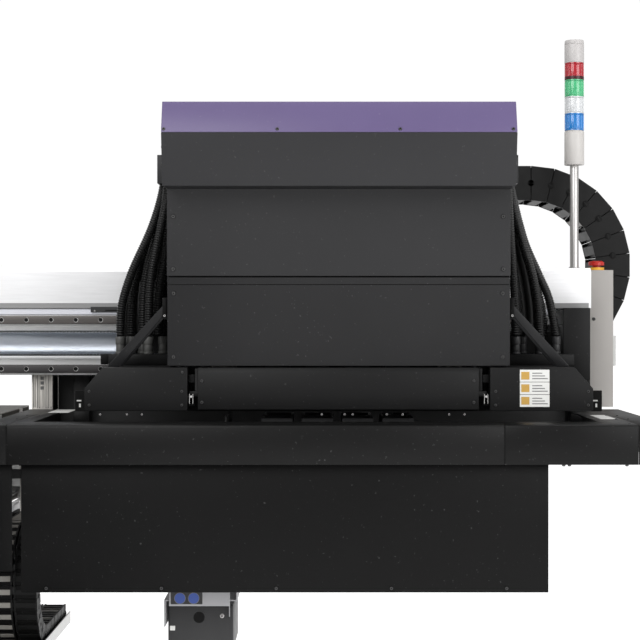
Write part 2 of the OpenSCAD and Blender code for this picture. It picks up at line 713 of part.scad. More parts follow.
module lamp_box(x0, x1, out) {
    c0 = out < 0 ? 40 : 0;
    c1 = out > 0 ? 40 : 0;
    difference() {
        translate([0, 171 + lamp_d, 0]) rotate([90, 0, 0]) linear_extrude(lamp_d)
            polygon([[x0, 969.5], [x1, 969.5], [x1, 1064 - (c1 > 0 ? 46 : 0)], [x1 - c1, 1064],
                [x0 + c0, 1064], [x0, 1064 - (c0 > 0 ? 46 : 0)]]);
        box(x0 + 4, x1 - 4, 175, 171 + lamp_d - 4, 965, 1010);
    }
    box(x0 + 50, x1 - 50, 200, 171 + lamp_d - 30, 974, 1010);
    box(x0 + 40, x1 - 40, 190, 171 + lamp_d - 20, 971, 974);
}

module lamp_boxes() color("black") place() {
    lamp_box(lamp_l - lamp_w, lamp_l, -1);
    lamp_box(lamp_rr, lamp_rr + lamp_w, 1);
}

module hose_manifolds() color("dimgray") place() {
    box(-489, -346, 360, 465, 1064.3, 1089);
    box(438, 562, 360, 465, 1064.3, 1089);
    box(561, 587, 360, 414, 1064.3, 1089);
    box(-346, head_l + 0.1, 412, 450, 1068, 1084);
    box(head_r - 0.1, 438, 412, 450, 1068, 1084);
    for (k = [0, 1]) mirrored_head(k) {
        box(lamp_rr + 8, lamp_rr + lamp_w - 46, 171 + lamp_d, 175 + lamp_d, 980, 1064.3);
        box(lamp_rr + lamp_w - 48, lamp_rr + lamp_w + 18, 171 + lamp_d, 175 + lamp_d, 966, 1002);
    }
    box(-290.6, home_x - 317.4, 196, 240, 1030, 1048);
    box(home_x + 317.4, lamp_rr - 0.4, 196, 240, 1030, 1048);
}

module hoses() color("black") place() {
    for (h = left_hoses) hose(h, hose_r, 10);
    for (h = right_hoses) hose(h, hose_r, 10);
    for (h = concat(left_hoses, right_hoses))
        translate([h[len(h) - 1][0], h[len(h) - 1][1], 1089.2]) cylinder(r = 11.5, h = 41.8);
}

module brace(s, y, z1) {
    x0 = s < 0 ? head_l : head_r;
    difference() {
        translate([0, y + 4, 0]) rotate([90, 0, 0]) linear_extrude(4)
            polygon([[x0 + s * 0.4, z1], [x0 + s * 12, z1 + 4], [x0 + s * 138, 1067], [x0 + s * 138, 1064.4],
                [x0 + s * 112, 1064.4], [x0 + s * 12, z1 - 20], [x0 + s * 0.4, z1 - 20]]);
    }
    box(min(x0 + s * 0.4, x0 + s * 12), max(x0 + s * 0.4, x0 + s * 12), y, y + 24, z1 - 30, z1 + 16);
}

module braces() color("dimgray") place()
    for (s = [-1, 1]) {
        brace(s, 236, 1200);
        brace(s, 300, 1200);
    }

module head_screw(x, y, z, r) {
    rod_y(x, z, y - 2.2, y, r);
}

module cover_screws() color("silver") place() {
    for (x = [head_l + 14, head_r - 16], z = [1395, 1280]) head_screw(x, 171, z, 4.5);
    for (x = [head_l + 14, head_r - 16], z = [1227, 1087]) head_screw(x, 182, z, 4.5);
    for (x = [home_x - 300, home_x + 296], z = [1030, 986]) head_screw(x, 171, z, 3.5);
    for (x = [-500, -312, 392, 585], z = [990]) head_screw(x, 171, z, 3.5);
}

base_frame();
levelling_feet();
vacuum_table();
rear_deck();
gantry_rails();
vacuum_blowers();
control_cabinet();
gantry_chain_tray();
gantry_chain_lower();
ball_screw_left();
ball_screw_right();
gantry_chain_loop();
gantry_side_plates();
gantry_runners();
gantry_chain_upper();
beam();
beam_top_cover();
beam_rails();
drive_belt();
beam_right_cover();
beam_left_housing();
end_post();
estop_base();
tower_pole();
tower_housing();
tower_lenses();
station_frame();
station_covers();
station_skirt();
station_back_panel();
drip_tray();
waste_holder();
waste_tank();
carriage_chain_tray();
carriage_chain_lower();
drive_motor();
drive_pulley();
idler_pulley();
estop_button();
cap_tray();
wiper();
carriage_plate();
chain_arm();
carriage_chain_upper();
lift_unit();
carriage_chain_loop();
lift_screw();
head_base_plate();
print_heads();
ink_tanks();
cover_shell();
cover_fascia();
cover_crown();
cover_front_panels();
base_panel();
lamp_boxes();
hose_manifolds();
hoses();
braces();
cover_screws();
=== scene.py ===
"""Looks of a wide flatbed inkjet printer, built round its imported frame."""
import math

import bmesh
import bpy
from mathutils import Matrix, Vector


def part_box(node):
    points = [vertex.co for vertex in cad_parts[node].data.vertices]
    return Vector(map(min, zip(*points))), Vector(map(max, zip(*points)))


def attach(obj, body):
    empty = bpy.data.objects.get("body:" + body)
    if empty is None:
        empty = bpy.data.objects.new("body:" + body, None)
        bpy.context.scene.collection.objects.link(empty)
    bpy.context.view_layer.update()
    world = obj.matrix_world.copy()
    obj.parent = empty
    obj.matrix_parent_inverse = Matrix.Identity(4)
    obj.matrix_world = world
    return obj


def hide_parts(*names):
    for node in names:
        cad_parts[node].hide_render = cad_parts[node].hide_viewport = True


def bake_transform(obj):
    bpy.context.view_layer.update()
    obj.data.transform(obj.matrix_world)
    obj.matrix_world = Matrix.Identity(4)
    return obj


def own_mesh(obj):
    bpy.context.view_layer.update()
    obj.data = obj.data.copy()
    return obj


bl_info = {
    "name": "Flatbed printer looks",
    "version": (1, 0, 0),
    "blender": (4, 5, 0),
    "location": "3D View > Sidebar > Printer",
    "description": "Covers, chains, hoses, rails and finishes of a wide flatbed printer",
    "category": "Object",
}

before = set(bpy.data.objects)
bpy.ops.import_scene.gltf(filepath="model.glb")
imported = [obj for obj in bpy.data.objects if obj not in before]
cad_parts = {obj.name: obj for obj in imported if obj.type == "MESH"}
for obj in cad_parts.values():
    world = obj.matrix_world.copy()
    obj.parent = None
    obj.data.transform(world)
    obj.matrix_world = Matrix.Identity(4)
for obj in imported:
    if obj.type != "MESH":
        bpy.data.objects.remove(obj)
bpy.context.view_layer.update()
ORIGIN = Vector((1.58575, 0.034, 0.0))

# Millimetres in the working axes: X right from the camera's line, Y back from the station's front, Z up.
HOOD_LEFT, HOOD_RIGHT = -335.7, 417.7
UPPER_FACE, LOWER_FACE = 171, 182
BEAM_FACE = 554
BEAM_LEFT_END = -3780
STATION_TOP = 950
CAMERA_DISTANCE, CAMERA_HEIGHT = 3336, 1168.5
CHAIN_BEND_X, CHAIN_END_X = 543, -1430
CHAIN_TOP_Z, CHAIN_LOW_Z = 1521, 1098

# Metres and radians.
UPPER_RAIL_Z, LOWER_RAIL_Z = 1.1685, 1.0500
RAIL_HALF_HEIGHT, RAIL_HOLE_PITCH = 0.010, 0.06
BELT_PITCH = 0.008
LENS_BOTTOM, LENS_PITCH = 1.6462, 0.04255
SHADING_ANGLE, FOLD_ANGLE = math.radians(32), math.radians(35)


def at(x, y, z):
    """A point in the row frame from millimetres in the maker's working axes."""
    return Vector((x / 1000, y / 1000, z / 1000)) + ORIGIN


# ---- settings


def paint_setting(name, description, default):
    return bpy.props.FloatVectorProperty(
        name=name, description=description, subtype="COLOR", size=3, default=default
    )


def length_setting(name, description, default, low, high):
    return bpy.props.FloatProperty(
        name=name, description=description, default=default, min=low, max=high, unit="LENGTH"
    )


class CoverSettings(bpy.types.PropertyGroup):
    """Colours and edges of the painted covers."""

    fascia: paint_setting("Fascia", "Paint of the fascia and hood", (0.0185, 0.0185, 0.0200))
    upper: paint_setting("Upper panel", "Paint of the upper front panel", (0.0165, 0.0165, 0.0175))
    lower: paint_setting("Lower panel", "Paint of the lower front panel", (0.0105, 0.0105, 0.0112))
    black: paint_setting("Black", "Paint of lamp boxes and station", (0.0060, 0.0060, 0.0062))
    crown: paint_setting("Crown", "Paint of the crown strip", (0.092, 0.070, 0.155))
    white: paint_setting("White", "Paint of base, cabinet and beam housing", (0.50, 0.50, 0.51))
    fold: length_setting("Fold radius", "Outside radius of a folded sheet edge", 0.0014, 0.0005, 0.004)


class ChainSettings(bpy.types.PropertyGroup):
    """Sizes of the energy chains."""

    pitch: length_setting("Pitch", "Length of a link of the large chain", 0.052, 0.04, 0.08)
    disc: length_setting("Pivot disc", "Radius of a pivot disc of the large chain", 0.0085, 0.005, 0.02)
    plate: length_setting("Plate", "Thickness of a side plate", 0.007, 0.003, 0.012)


class HoseSettings(bpy.types.PropertyGroup):
    """Sizes of the ribbed hoses."""

    radius: length_setting("Radius", "Outside radius of a hose", 0.0108, 0.006, 0.012)
    rib: length_setting("Rib pitch", "Distance between two ribs", 0.0056, 0.004, 0.01)


# ---- shader maths


class Wire:
    """A shader socket that adds Math nodes when it is used in an expression."""

    def __init__(self, paint, socket):
        self.paint = paint
        self.socket = socket

    def maths(self, operation, *values):
        return self.paint.node("Math", operation=operation, values=values)[0]

    def __add__(self, other):
        return self.maths("ADD", self, other)

    def __sub__(self, other):
        return self.maths("SUBTRACT", self, other)

    def __mul__(self, other):
        return self.maths("MULTIPLY", self, other)

    def __pow__(self, other):
        return self.maths("POWER", self, other)


class Paint:
    """A material with one Principled shader, and the nodes that vary its sockets."""

    def __init__(self, name):
        self.material = bpy.data.materials.new(name)
        self.material.use_nodes = True
        self.tree = self.material.node_tree
        self.shader = self.tree.nodes["Principled BSDF"]
        self.place = self.node("TexCoord")["Object"]

    def link(self, value, socket):
        if isinstance(value, Wire):
            self.tree.links.new(value.socket, socket)
        else:
            socket.default_value = value

    def node(self, kind, values=(), sockets=None, **settings):
        """A node of a type, its settings, and the values or links of its sockets."""
        made = self.tree.nodes.new("ShaderNode" + kind)
        for key, value in settings.items():
            setattr(made, key, value)
        for socket, value in zip(made.inputs, values):
            self.link(value, socket)
        for key, value in (sockets or {}).items():
            self.link(value, made.inputs[key])
        return Outputs(self, made)

    def stretched(self, scale):
        return self.node("Mapping", sockets={"Vector": self.place, "Scale": scale})[0]

    def noise(self, scale, detail=3.0, stretch=None):
        source = self.stretched(stretch) if stretch else self.place
        return self.node(
            "TexNoise", sockets={"Vector": source, "Scale": scale, "Detail": detail, "Roughness": 0.6}
        )[0]

    def mix(self, share, first, second):
        made = self.tree.nodes.new("ShaderNodeMix")
        made.data_type = "RGBA"
        self.link(share, made.inputs[0])
        for value, index in ((first, 6), (second, 7)):
            if isinstance(value, Wire):
                self.link(value, made.inputs[index])
            else:
                made.inputs[index].default_value = (*value, 1.0)
        return Wire(self, made.outputs[2])

    def bump(self, height, strength, distance):
        return self.node("Bump", sockets={"Height": height, "Strength": strength, "Distance": distance})[0]

    def set(self, **sockets):
        for key, value in sockets.items():
            socket = self.shader.inputs[key.replace("_", " ")]
            if isinstance(value, tuple) and len(value) == 3 and socket.type == "RGBA":
                value = (*value, 1.0)
            self.link(value, socket)
        return self.material


class Outputs:
    """The outputs of a node, by number or by name."""

    def __init__(self, paint, made):
        self.paint = paint
        self.made = made

    def __getitem__(self, key):
        return Wire(self.paint, self.made.outputs[key])


def shade(colour, factor):
    return tuple(min(1.0, c * factor) for c in colour)


def powder_coat(name, colour, rough=0.42, grain=900.0, depth=0.25, shine=0.2):
    """Fine textured paint: orange peel, faint clouding and dust in the shine."""
    paint = Paint(name)
    cloud = paint.noise(2.6, 4.0)
    peel = paint.noise(grain, 2.0)
    dust = paint.noise(11.0, 5.0)
    speck = paint.node(
        "MapRange", sockets={"Value": paint.noise(160.0, 1.0), "From Min": 0.72, "From Max": 0.80}
    )[0]
    base = paint.mix(cloud, shade(colour, 0.86), shade(colour, 1.14))
    base = paint.mix(speck * 0.05, base, (0.6, 0.6, 0.6))
    return paint.set(
        Base_Color=base,
        Roughness=dust * 0.16 + (rough - 0.08),
        Specular_IOR_Level=shine,
        Normal=paint.bump(peel, depth, 0.0004),
    )


def brushed(name, colour, metallic=1.0, rough=0.32, along=(2.0, 260.0, 260.0), contrast=0.16):
    """Extruded or brushed metal with lines along the bar."""
    paint = Paint(name)
    lines = paint.noise(4.0, 6.0, along)
    cloud = paint.noise(3.0, 4.0)
    spots = paint.noise(70.0, 3.0)
    base = paint.mix(lines, shade(colour, 1 - contrast), shade(colour, 1 + contrast * 0.6))
    base = paint.mix(cloud * contrast, base, shade(colour, 0.75))
    return paint.set(
        Base_Color=base,
        Metallic=metallic,
        Roughness=lines * 0.10 + spots * 0.08 + (rough - 0.08),
        Normal=paint.bump(lines, contrast * 0.5, 0.0003),
    )


def moulded(name, colour, rough=0.5, grain=420.0, depth=0.18, spread=0.12, shine=0.35, cloud_size=6.0):
    """Moulded plastic or rubber with a light grain."""
    paint = Paint(name)
    cloud = paint.noise(cloud_size, 4.0)
    grain_noise = paint.noise(grain, 3.0)
    scuff = paint.noise(38.0, 6.0)
    base = paint.mix(cloud, shade(colour, 1.0 - spread), shade(colour, 1.0 + spread))
    return paint.set(
        Base_Color=base,
        Roughness=scuff * 0.22 + (rough - 0.11),
        Specular_IOR_Level=shine,
        Normal=paint.bump(grain_noise, depth, 0.0004),
    )


def coloured_lens(name, colour, glow=0.05):
    """Translucent ribbed lens of a signal tower."""
    paint = Paint(name)
    ribs = paint.node(
        "TexWave", bands_direction="Z", sockets={"Vector": paint.place, "Scale": 60.0, "Distortion": 0.0}
    )[1]
    cloud = paint.noise(60.0, 3.0)
    return paint.set(
        Base_Color=paint.mix(cloud, shade(colour, 0.85), shade(colour, 1.2)),
        Roughness=cloud * 0.08 + 0.12,
        Normal=paint.bump(ribs, 0.2, 0.0005),
        Emission_Color=colour,
        Emission_Strength=glow,
        Coat_Weight=0.5,
    )


def perforated(name, colour):
    """Anodised table top with a grid of suction holes."""
    paint = Paint(name)
    axes = paint.node("SeparateXYZ", sockets={"Vector": paint.place})
    pitch = 0.025
    squares = []
    for axis in (0, 1):
        cell = paint.node("Math", operation="FRACT", values=[axes[axis] * (1 / pitch)])[0]
        offset = cell - 0.5
        squares.append(offset * offset)
    distance = (squares[0] + squares[1]) ** 0.5
    plate = paint.node("MapRange", sockets={"Value": distance, "From Min": 0.05, "From Max": 0.07})[0]
    cloud = paint.noise(3.0, 4.0)
    lines = paint.noise(5.0, 4.0, (2.0, 200.0, 2.0))
    base = paint.mix(cloud, shade(colour, 0.9), shade(colour, 1.08))
    # The suction holes are painted near-black: painted shade inside each hole, while the bump gives only
    # their dent.
    return paint.set(
        Base_Color=paint.mix(plate, (0.02, 0.02, 0.02), base),
        Metallic=0.6,
        Roughness=lines * 0.15 + 0.38,
        Normal=paint.bump(plate, 0.4, 0.0008),
    )


PAINTS = {}


def make_paints(covers):
    """All finishes of the machine, by a short name."""
    PAINTS.update(
        fascia=powder_coat("fascia_paint", covers.fascia[:]),
        upper=powder_coat("upper_panel_paint", covers.upper[:]),
        lower=powder_coat("lower_panel_paint", covers.lower[:]),
        black=powder_coat("black_powder_coat", covers.black[:], rough=0.46, shine=0.15),
        station=powder_coat("station_paint", (0.0025, 0.0025, 0.0025), rough=0.40, shine=0.15),
        back=powder_coat("back_panel_paint", (0.032, 0.032, 0.032), rough=0.5, shine=0.15),
        # Near-black paint of the station skirt; the same paint is also painted shade in rail holes, screw
        # sockets, panel gaps and on shaded faces.
        skirt=powder_coat("skirt_and_shade_paint", (0.0015, 0.0015, 0.0015), rough=0.5, shine=0.12),
        crown=powder_coat("crown_paint", covers.crown[:], rough=0.34, depth=0.15, shine=0.3),
        frame=powder_coat("frame_paint", covers.white[:], rough=0.42, depth=0.12, shine=0.3),
        post=powder_coat("post_paint", (0.31, 0.295, 0.28), rough=0.5, shine=0.3),
        sheet=powder_coat("grey_sheet_paint", (0.30, 0.30, 0.31), rough=0.42, depth=0.1),
        beam=brushed("beam_extrusion", (0.98, 0.98, 0.98), metallic=0.0, rough=0.5, contrast=0.03),
        channel=brushed("channel_lining", (0.62, 0.66, 0.72), metallic=0.7, rough=0.30, contrast=0.07),
        alu=brushed(
            "milled_aluminium", (0.47, 0.45, 0.42), metallic=0.5, rough=0.42, along=(160.0, 160.0, 3.0),
            contrast=0.07
        ),
        deck=brushed("deck_sheet", (0.20, 0.19, 0.175), metallic=0.2, rough=0.45, contrast=0.08),
        rail=brushed("guide_rail_steel", (0.092, 0.084, 0.080), metallic=0.6, rough=0.38, contrast=0.08),
        # A darker copy of the rail steel, painted shade on the lower rail.
        rail_dark=brushed(
            "shaded_rail_steel", (0.050, 0.047, 0.048), metallic=0.6, rough=0.40, contrast=0.08
        ),
        lip=brushed("cover_lip", (0.24, 0.24, 0.24), metallic=0.4, rough=0.42, contrast=0.08),
        strip=brushed("beam_strip", (0.62, 0.63, 0.68), metallic=0.6, rough=0.34, contrast=0.08),
        screw=brushed("blackened_screw", (0.07, 0.07, 0.07), metallic=0.7, rough=0.35, contrast=0.1),
        amber=moulded("amber_patch", (0.45, 0.27, 0.06), rough=0.45, spread=0.05),
        cover_sheet=brushed(
            "top_cover_sheet", (0.80, 0.80, 0.81), metallic=0.1, rough=0.4, along=(3.0, 10.0, 40.0),
            contrast=0.14
        ),
        pole=brushed(
            "pole_steel", (0.50, 0.49, 0.48), metallic=0.85, rough=0.36, along=(60.0, 60.0, 3.0),
            contrast=0.08
        ),
        zinc=brushed("zinc_plate", (0.50, 0.50, 0.49), metallic=0.9, rough=0.36, along=(40.0, 40.0, 40.0)),
        steel=brushed(
            "polished_steel", (0.62, 0.61, 0.60), metallic=1.0, rough=0.20, along=(60.0, 60.0, 3.0)
        ),
        chain=moulded(
            "chain_plastic", (0.0045, 0.0045, 0.0045), rough=0.5, spread=0.7, cloud_size=55.0, shine=0.18
        ),
        bar=moulded("chain_crossbar", (0.23, 0.22, 0.20), rough=0.5),
        hose=moulded("hose_plastic", (0.006, 0.006, 0.006), rough=0.38),
        cuff=moulded("cuff_plastic", (0.075, 0.075, 0.072), rough=0.45),
        belt=moulded("belt_rubber", (0.055, 0.06, 0.062), rough=0.6),
        black_plastic=moulded("black_plastic", (0.018, 0.018, 0.019), rough=0.45),
        tower=moulded("tower_plastic", (0.43, 0.415, 0.40), rough=0.4, spread=0.05),
        cap=moulded("tower_cap_plastic", (0.40, 0.385, 0.38), rough=0.35, spread=0.04),
        yellow=moulded("stop_base_yellow", (0.72, 0.38, 0.035), rough=0.35, spread=0.05),
        red=moulded("stop_button_red", (0.40, 0.018, 0.012), rough=0.30, spread=0.08),
        disc=moulded("blue_disc", (0.035, 0.075, 0.30), rough=0.4, spread=0.05),
        label=moulded("plain_label", (0.62, 0.62, 0.60), rough=0.45, spread=0.04),
        grey_label=moulded("grey_label", (0.14, 0.14, 0.14), rough=0.5, spread=0.05),
        rubber=moulded("soft_rubber", (0.03, 0.03, 0.03), rough=0.7),
        table=perforated("vacuum_table_top", (0.50, 0.50, 0.49)),
        # A darker copy of the red lens colour, painted shade at the foot of the red lens.
        garnet=moulded("red_lens_shade_paint", (0.035, 0.004, 0.006), rough=0.3),
        lens_red=coloured_lens("red_lens", (0.30, 0.006, 0.014)),
        lens_green=coloured_lens("green_lens", (0.05, 0.34, 0.15)),
        lens_clear=coloured_lens("clear_lens", (0.48, 0.49, 0.50)),
        lens_blue=coloured_lens("blue_lens", (0.012, 0.15, 0.42)),
    )


# ---- mesh work


def finish_piece(bm, name, body, paint, nodes=()):
    """Turns a bmesh into a piece that rides on a body."""
    mesh = bpy.data.meshes.new(name)
    bm.to_mesh(mesh)
    bm.free()
    paints = paint if isinstance(paint, (list, tuple)) else [paint]
    for one in paints:
        mesh.materials.append(PAINTS[one])
    piece = bpy.data.objects.new(name, mesh)
    bpy.context.collection.objects.link(piece)
    mesh.shade_smooth()
    mesh.set_sharp_from_angle(angle=SHADING_ANGLE)
    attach(piece, body)
    if nodes:
        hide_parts(*nodes)
    return piece


def merged_copy(node):
    """A welded bmesh of a CAD node, with its flat faces joined."""
    bm = bmesh.new()
    bm.from_mesh(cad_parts[node].data)
    bmesh.ops.remove_doubles(bm, verts=bm.verts, dist=0.00002)
    bmesh.ops.dissolve_limit(bm, angle_limit=math.radians(1.0), verts=bm.verts, edges=bm.edges)
    return bm


shift = Matrix.Translation


def rounded(bm, edges, radius, steps):
    """Bevels edges to a radius."""
    bmesh.ops.bevel(
        bm, geom=edges, offset=radius, offset_type="OFFSET", segments=steps,
        profile=0.5, affect="EDGES", material=-1, clamp_overlap=True,
    )


def soften(bm, radius, steps=2):
    """Rounds every edge that turns more than the fold angle."""
    sharp = [
        e
        for e in bm.edges
        if len(e.link_faces) == 2 and e.calc_face_angle(0) > FOLD_ANGLE and e.calc_length() > radius * 1.5
    ]
    if sharp:
        rounded(bm, sharp, radius, steps)
    return bm


def dressed(node, body, paint, radius=0.0012, steps=2):
    """A CAD node with rounded edges and its finish."""
    bm = soften(merged_copy(node), radius, steps)
    return finish_piece(bm, node + "_piece", body, paint, [node])


def dress(body, *rows):
    """Dresses CAD nodes of one body; a row has the node, the finish, the edge radius and the steps."""
    for node, paint, radius, steps in rows:
        dressed(node, body, paint, radius, steps)


def block(bm, low, high, radius=0.0, steps=1, material=0):
    """A box between two corners, with rounded edges."""
    low, high = Vector(low), Vector(high)
    size = high - low
    middle = (low + high) / 2
    made = bmesh.ops.create_cube(
        bm, size=1.0, matrix=shift(middle) @ Matrix.Diagonal((*size, 1.0))
    )
    faces = {f for v in made["verts"] for f in v.link_faces}
    for face in faces:
        face.material_index = material
    if radius:
        rounded(bm, list({e for v in made["verts"] for e in v.link_edges}), radius, steps)


def drum(bm, place, radius, depth, sides=20, top=None, material=0, edge=0.0):
    """A closed cylinder or cone on a matrix, its axis along the matrix's Z."""
    made = bmesh.ops.create_cone(
        bm, cap_ends=True, cap_tris=False, segments=sides, radius1=radius,
        radius2=radius if top is None else top, depth=depth, matrix=place
    )
    faces = {f for v in made["verts"] for f in v.link_faces}
    for face in faces:
        face.material_index = material
    if edge:
        edges = {e for v in made["verts"] for e in v.link_edges}
        rounded(bm, [e for e in edges if any(len(f.verts) == sides for f in e.link_faces)], edge, 2)


FACE_FRONT = Matrix.Rotation(math.radians(90), 4, "X")


def facing(x, y, z):
    """The matrix of a drum that faces the front at a point in millimetres."""
    return shift(at(x, y, z)) @ FACE_FRONT


def screw_head(bm, point, turn, radius=0.0045, depth=0.0026, sides=18, material=0):
    """A button head screw with a socket, standing on a face; its socket is a dark disc of the next paint,
    painted shade in the recess.
    """
    lift = turn @ Vector((0, 0, depth / 2))
    place = shift(point + lift) @ turn
    drum(bm, place, radius, depth, sides, top=radius * 0.72, material=material)
    top = shift(point + turn @ Vector((0, 0, depth + 0.00012))) @ turn
    drum(bm, top, radius * 0.40, 0.0003, 6, material=material + 1)


def front_screw(bm, point, radius, depth=0.0026, material=0):
    """A screw that faces the front at a point in millimetres."""
    screw_head(bm, at(*point), FACE_FRONT, radius, depth, material=material)


# ---- energy chains


def taper(bm, box, radius, long_side, short_side, material=0):
    """A block whose length differs above and below its middle."""
    before = set(bm.verts)
    block(bm, *box, material=material)
    made = [v for v in bm.verts if v not in before]
    for vert in made:
        vert.co.x *= short_side if vert.co.z > 0 else long_side
    rounded(bm, list({e for v in made for e in v.link_edges}), radius, 1)


def link_shape(pitch, height, width, plate, disc, odd, tones=2, spread=0.0):
    """One link: side plates, slotted pivots, a crossbar above and below, and the cables inside.

    Its run is along X and its inner side is up.
    """
    bm = bmesh.new()
    step = plate * 0.16 if odd % 2 else 0.0
    half = pitch / 2 - 0.0005
    for side in (-1, 1):
        faces = sorted((side * (width / 2 - step), side * (width / 2 - plate)))
        box = ((-half, faces[0], -height / 2), (half, faces[1], height / 2))
        taper(bm, box, plate * 0.12, 1 + spread, 1 - spread)
        middle = side * (width / 2 - plate / 2)
        drum(
            bm, shift((half, middle, 0)) @ FACE_FRONT, disc, plate + 0.0012, 18, edge=0.0006,
            material=2
        )
        slot = side * (width / 2 + 0.0006)
        block(
            bm, (half - disc * 0.75, slot - 0.0003, -disc * 0.16),
            (half + disc * 0.75, slot + 0.0003, disc * 0.16)
        )
        ring = shift((-half * 0.2, side * (width / 2 - step), height * 0.16)) @ FACE_FRONT
        drum(bm, ring, disc * 0.35, 0.0008, 12)
    inner = height / 2 - plate * 0.45
    light = 1 if odd > 1 or tones > 2 else 0
    block(
        bm, (-pitch * 0.24, -width / 2 + plate, inner - plate * 0.35),
        (pitch * 0.24, width / 2 - plate, inner + plate * 0.35), plate * 0.15, 1, material=light
    )
    block(
        bm, (-pitch * 0.24, -width / 2 + plate, -inner - plate * 0.35),
        (pitch * 0.24, width / 2 - plate, -inner + plate * 0.35), plate * 0.15, 1,
        material=1 if tones > 2 else 0
    )
    core = ((-half, -width / 2 + plate, -height * 0.455), (half, width / 2 - plate, height * 0.36))
    taper(bm, core, 0.0005, 1 + spread, 1 - spread, material=2)
    mesh = bpy.data.meshes.new("link")
    bm.to_mesh(mesh)
    bm.free()
    return mesh


def place_links(bm, places, *sizes):
    """Sets links at the places: every other one is narrower, and every fourth has a light bar."""
    shapes = [link_shape(*sizes[:5], kind, *sizes[5:]) for kind in (0, 1, 0, 3)]
    for i, place in enumerate(places):
        mesh = shapes[i % 4].copy()
        mesh.transform(place)
        bm.from_mesh(mesh)
        bpy.data.meshes.remove(mesh)


def straight_run(bm, start, end, inward, pitch, height, width, plate, disc, tones=2):
    """Links from start to end."""
    run = end - start
    count = max(1, round(run.length / pitch))
    step = run.length / count
    along = run.normalized()
    across = inward.cross(along).normalized()
    turn = Matrix((along, across, inward)).transposed().to_4x4()
    places = [shift(start + along * step * (i + 0.5)) @ turn for i in range(count)]
    place_links(bm, places, step, height, width, plate, disc, tones)


def bend_run(bm, centre, radius, first, last, count, spin_axis, zero, height, width, plate, disc, tones=2):
    """Links round a bend from one angle to another, in degrees about an axis."""
    step = math.radians(last - first) / count
    chord = 2 * radius * math.sin(abs(step) / 2)
    middle = radius * math.cos(step / 2)
    places = []
    for i in range(count):
        angle = math.radians(first) + step * (i + 0.5)
        out = Matrix.Rotation(angle, 3, spin_axis) @ zero
        along = spin_axis.cross(out).normalized()
        across = (-out).cross(along).normalized()
        turn = Matrix((along, across, -out)).transposed().to_4x4()
        places.append(shift(centre + out * middle) @ turn)
    place_links(bm, places, chord, height, width, plate, disc, tones, height / 2 / radius)


# ---- hoses

# Routes from the outlet hood down to the manifold, in millimetres. The first ones of a side have cuffs.
LEFT_CUFFS, RIGHT_CUFFS = 5, 4
LEFT_HOSES = [
    [(-364, 400, 1484), (-374, 398, 1440), (-388, 396, 1395), (-404, 394, 1355),
     (-439, 392, 1277), (-461, 392, 1204), (-465, 392, 1131)],
    [(-360, 420, 1484), (-374, 420, 1440), (-388, 420, 1390), (-404, 420, 1340),
     (-424, 420, 1290), (-438, 420, 1240), (-443, 420, 1190), (-444, 420, 1131)],
    [(-364, 440, 1484), (-378, 442, 1430), (-388, 444, 1380), (-400, 446, 1330),
     (-412, 446, 1270), (-419, 446, 1210), (-420, 446, 1131)],
    [(-354, 384, 1484), (-360, 378, 1430), (-370, 376, 1380), (-382, 374, 1320),
     (-392, 374, 1260), (-396, 374, 1200), (-397, 374, 1131)],
    [(-350, 440, 1484), (-352, 440, 1420), (-358, 440, 1350),
     (-366, 440, 1280), (-370, 440, 1200), (-371, 440, 1131)],
    [(-345, 452, 1484), (-356, 454, 1440), (-372, 456, 1390), (-392, 458, 1340),
     (-412, 458, 1290), (-428, 456, 1240), (-432, 454, 1190), (-432, 452, 1131)],
    [(-352, 410, 1484), (-362, 410, 1440), (-376, 410, 1390), (-390, 408, 1340),
     (-404, 408, 1290), (-412, 408, 1240), (-414, 406, 1190), (-414, 406, 1131)],
    [(-345, 400, 1484), (-350, 402, 1430), (-358, 404, 1370), (-366, 404, 1300),
     (-376, 404, 1240), (-380, 404, 1190), (-380, 404, 1131)],
    [(-366, 430, 1484), (-374, 430, 1440), (-388, 430, 1390), (-402, 430, 1345),
     (-422, 430, 1295), (-440, 428, 1245), (-450, 426, 1195), (-454, 426, 1131)],
    [(-342, 455, 1484), (-344, 455, 1430), (-348, 455, 1370),
     (-352, 455, 1300), (-355, 455, 1210), (-356, 455, 1131)],
    [(-347, 445, 1484), (-358, 446, 1440), (-372, 448, 1390), (-382, 448, 1330),
     (-387, 448, 1280), (-390, 448, 1210), (-391, 448, 1131)],
    [(-344, 430, 1484), (-350, 430, 1440), (-358, 430, 1390), (-368, 430, 1330),
     (-376, 430, 1270), (-380, 430, 1200), (-381, 430, 1131)],
]
RIGHT_HOSES = [
    [(442, 400, 1484), (450, 398, 1440), (462, 396, 1390), (478, 394, 1330),
     (496, 392, 1270), (508, 392, 1200), (512, 392, 1131)],
    [(446, 420, 1484), (456, 420, 1440), (468, 420, 1392), (484, 420, 1340),
     (512, 420, 1277), (538, 420, 1215), (554, 420, 1131)],
    [(434, 440, 1484), (438, 442, 1420), (448, 444, 1350),
     (462, 446, 1280), (474, 446, 1200), (478, 446, 1131)],
    [(436, 384, 1484), (438, 372, 1420), (442, 370, 1350),
     (448, 370, 1270), (452, 370, 1200), (453, 370, 1131)],
    [(448, 452, 1484), (458, 454, 1440), (472, 456, 1390), (490, 458, 1330),
     (508, 458, 1270), (522, 456, 1210), (528, 454, 1170), (529, 452, 1131)],
    [(440, 410, 1484), (446, 410, 1440), (456, 410, 1390), (470, 410, 1330),
     (484, 410, 1270), (494, 410, 1200), (496, 410, 1131)],
    [(430, 400, 1484), (432, 400, 1430), (440, 400, 1370),
     (450, 402, 1300), (460, 402, 1220), (463, 402, 1131)],
    [(428, 455, 1484), (429, 455, 1430), (432, 455, 1360),
     (436, 455, 1280), (440, 455, 1200), (441, 455, 1131)],
    [(432, 448, 1484), (444, 450, 1430), (456, 450, 1370), (466, 450, 1320),
     (478, 450, 1265), (486, 450, 1210), (488, 450, 1131)],
    [(430, 430, 1484), (437, 430, 1430), (446, 430, 1370),
     (455, 430, 1300), (462, 430, 1220), (465, 430, 1131)],
]


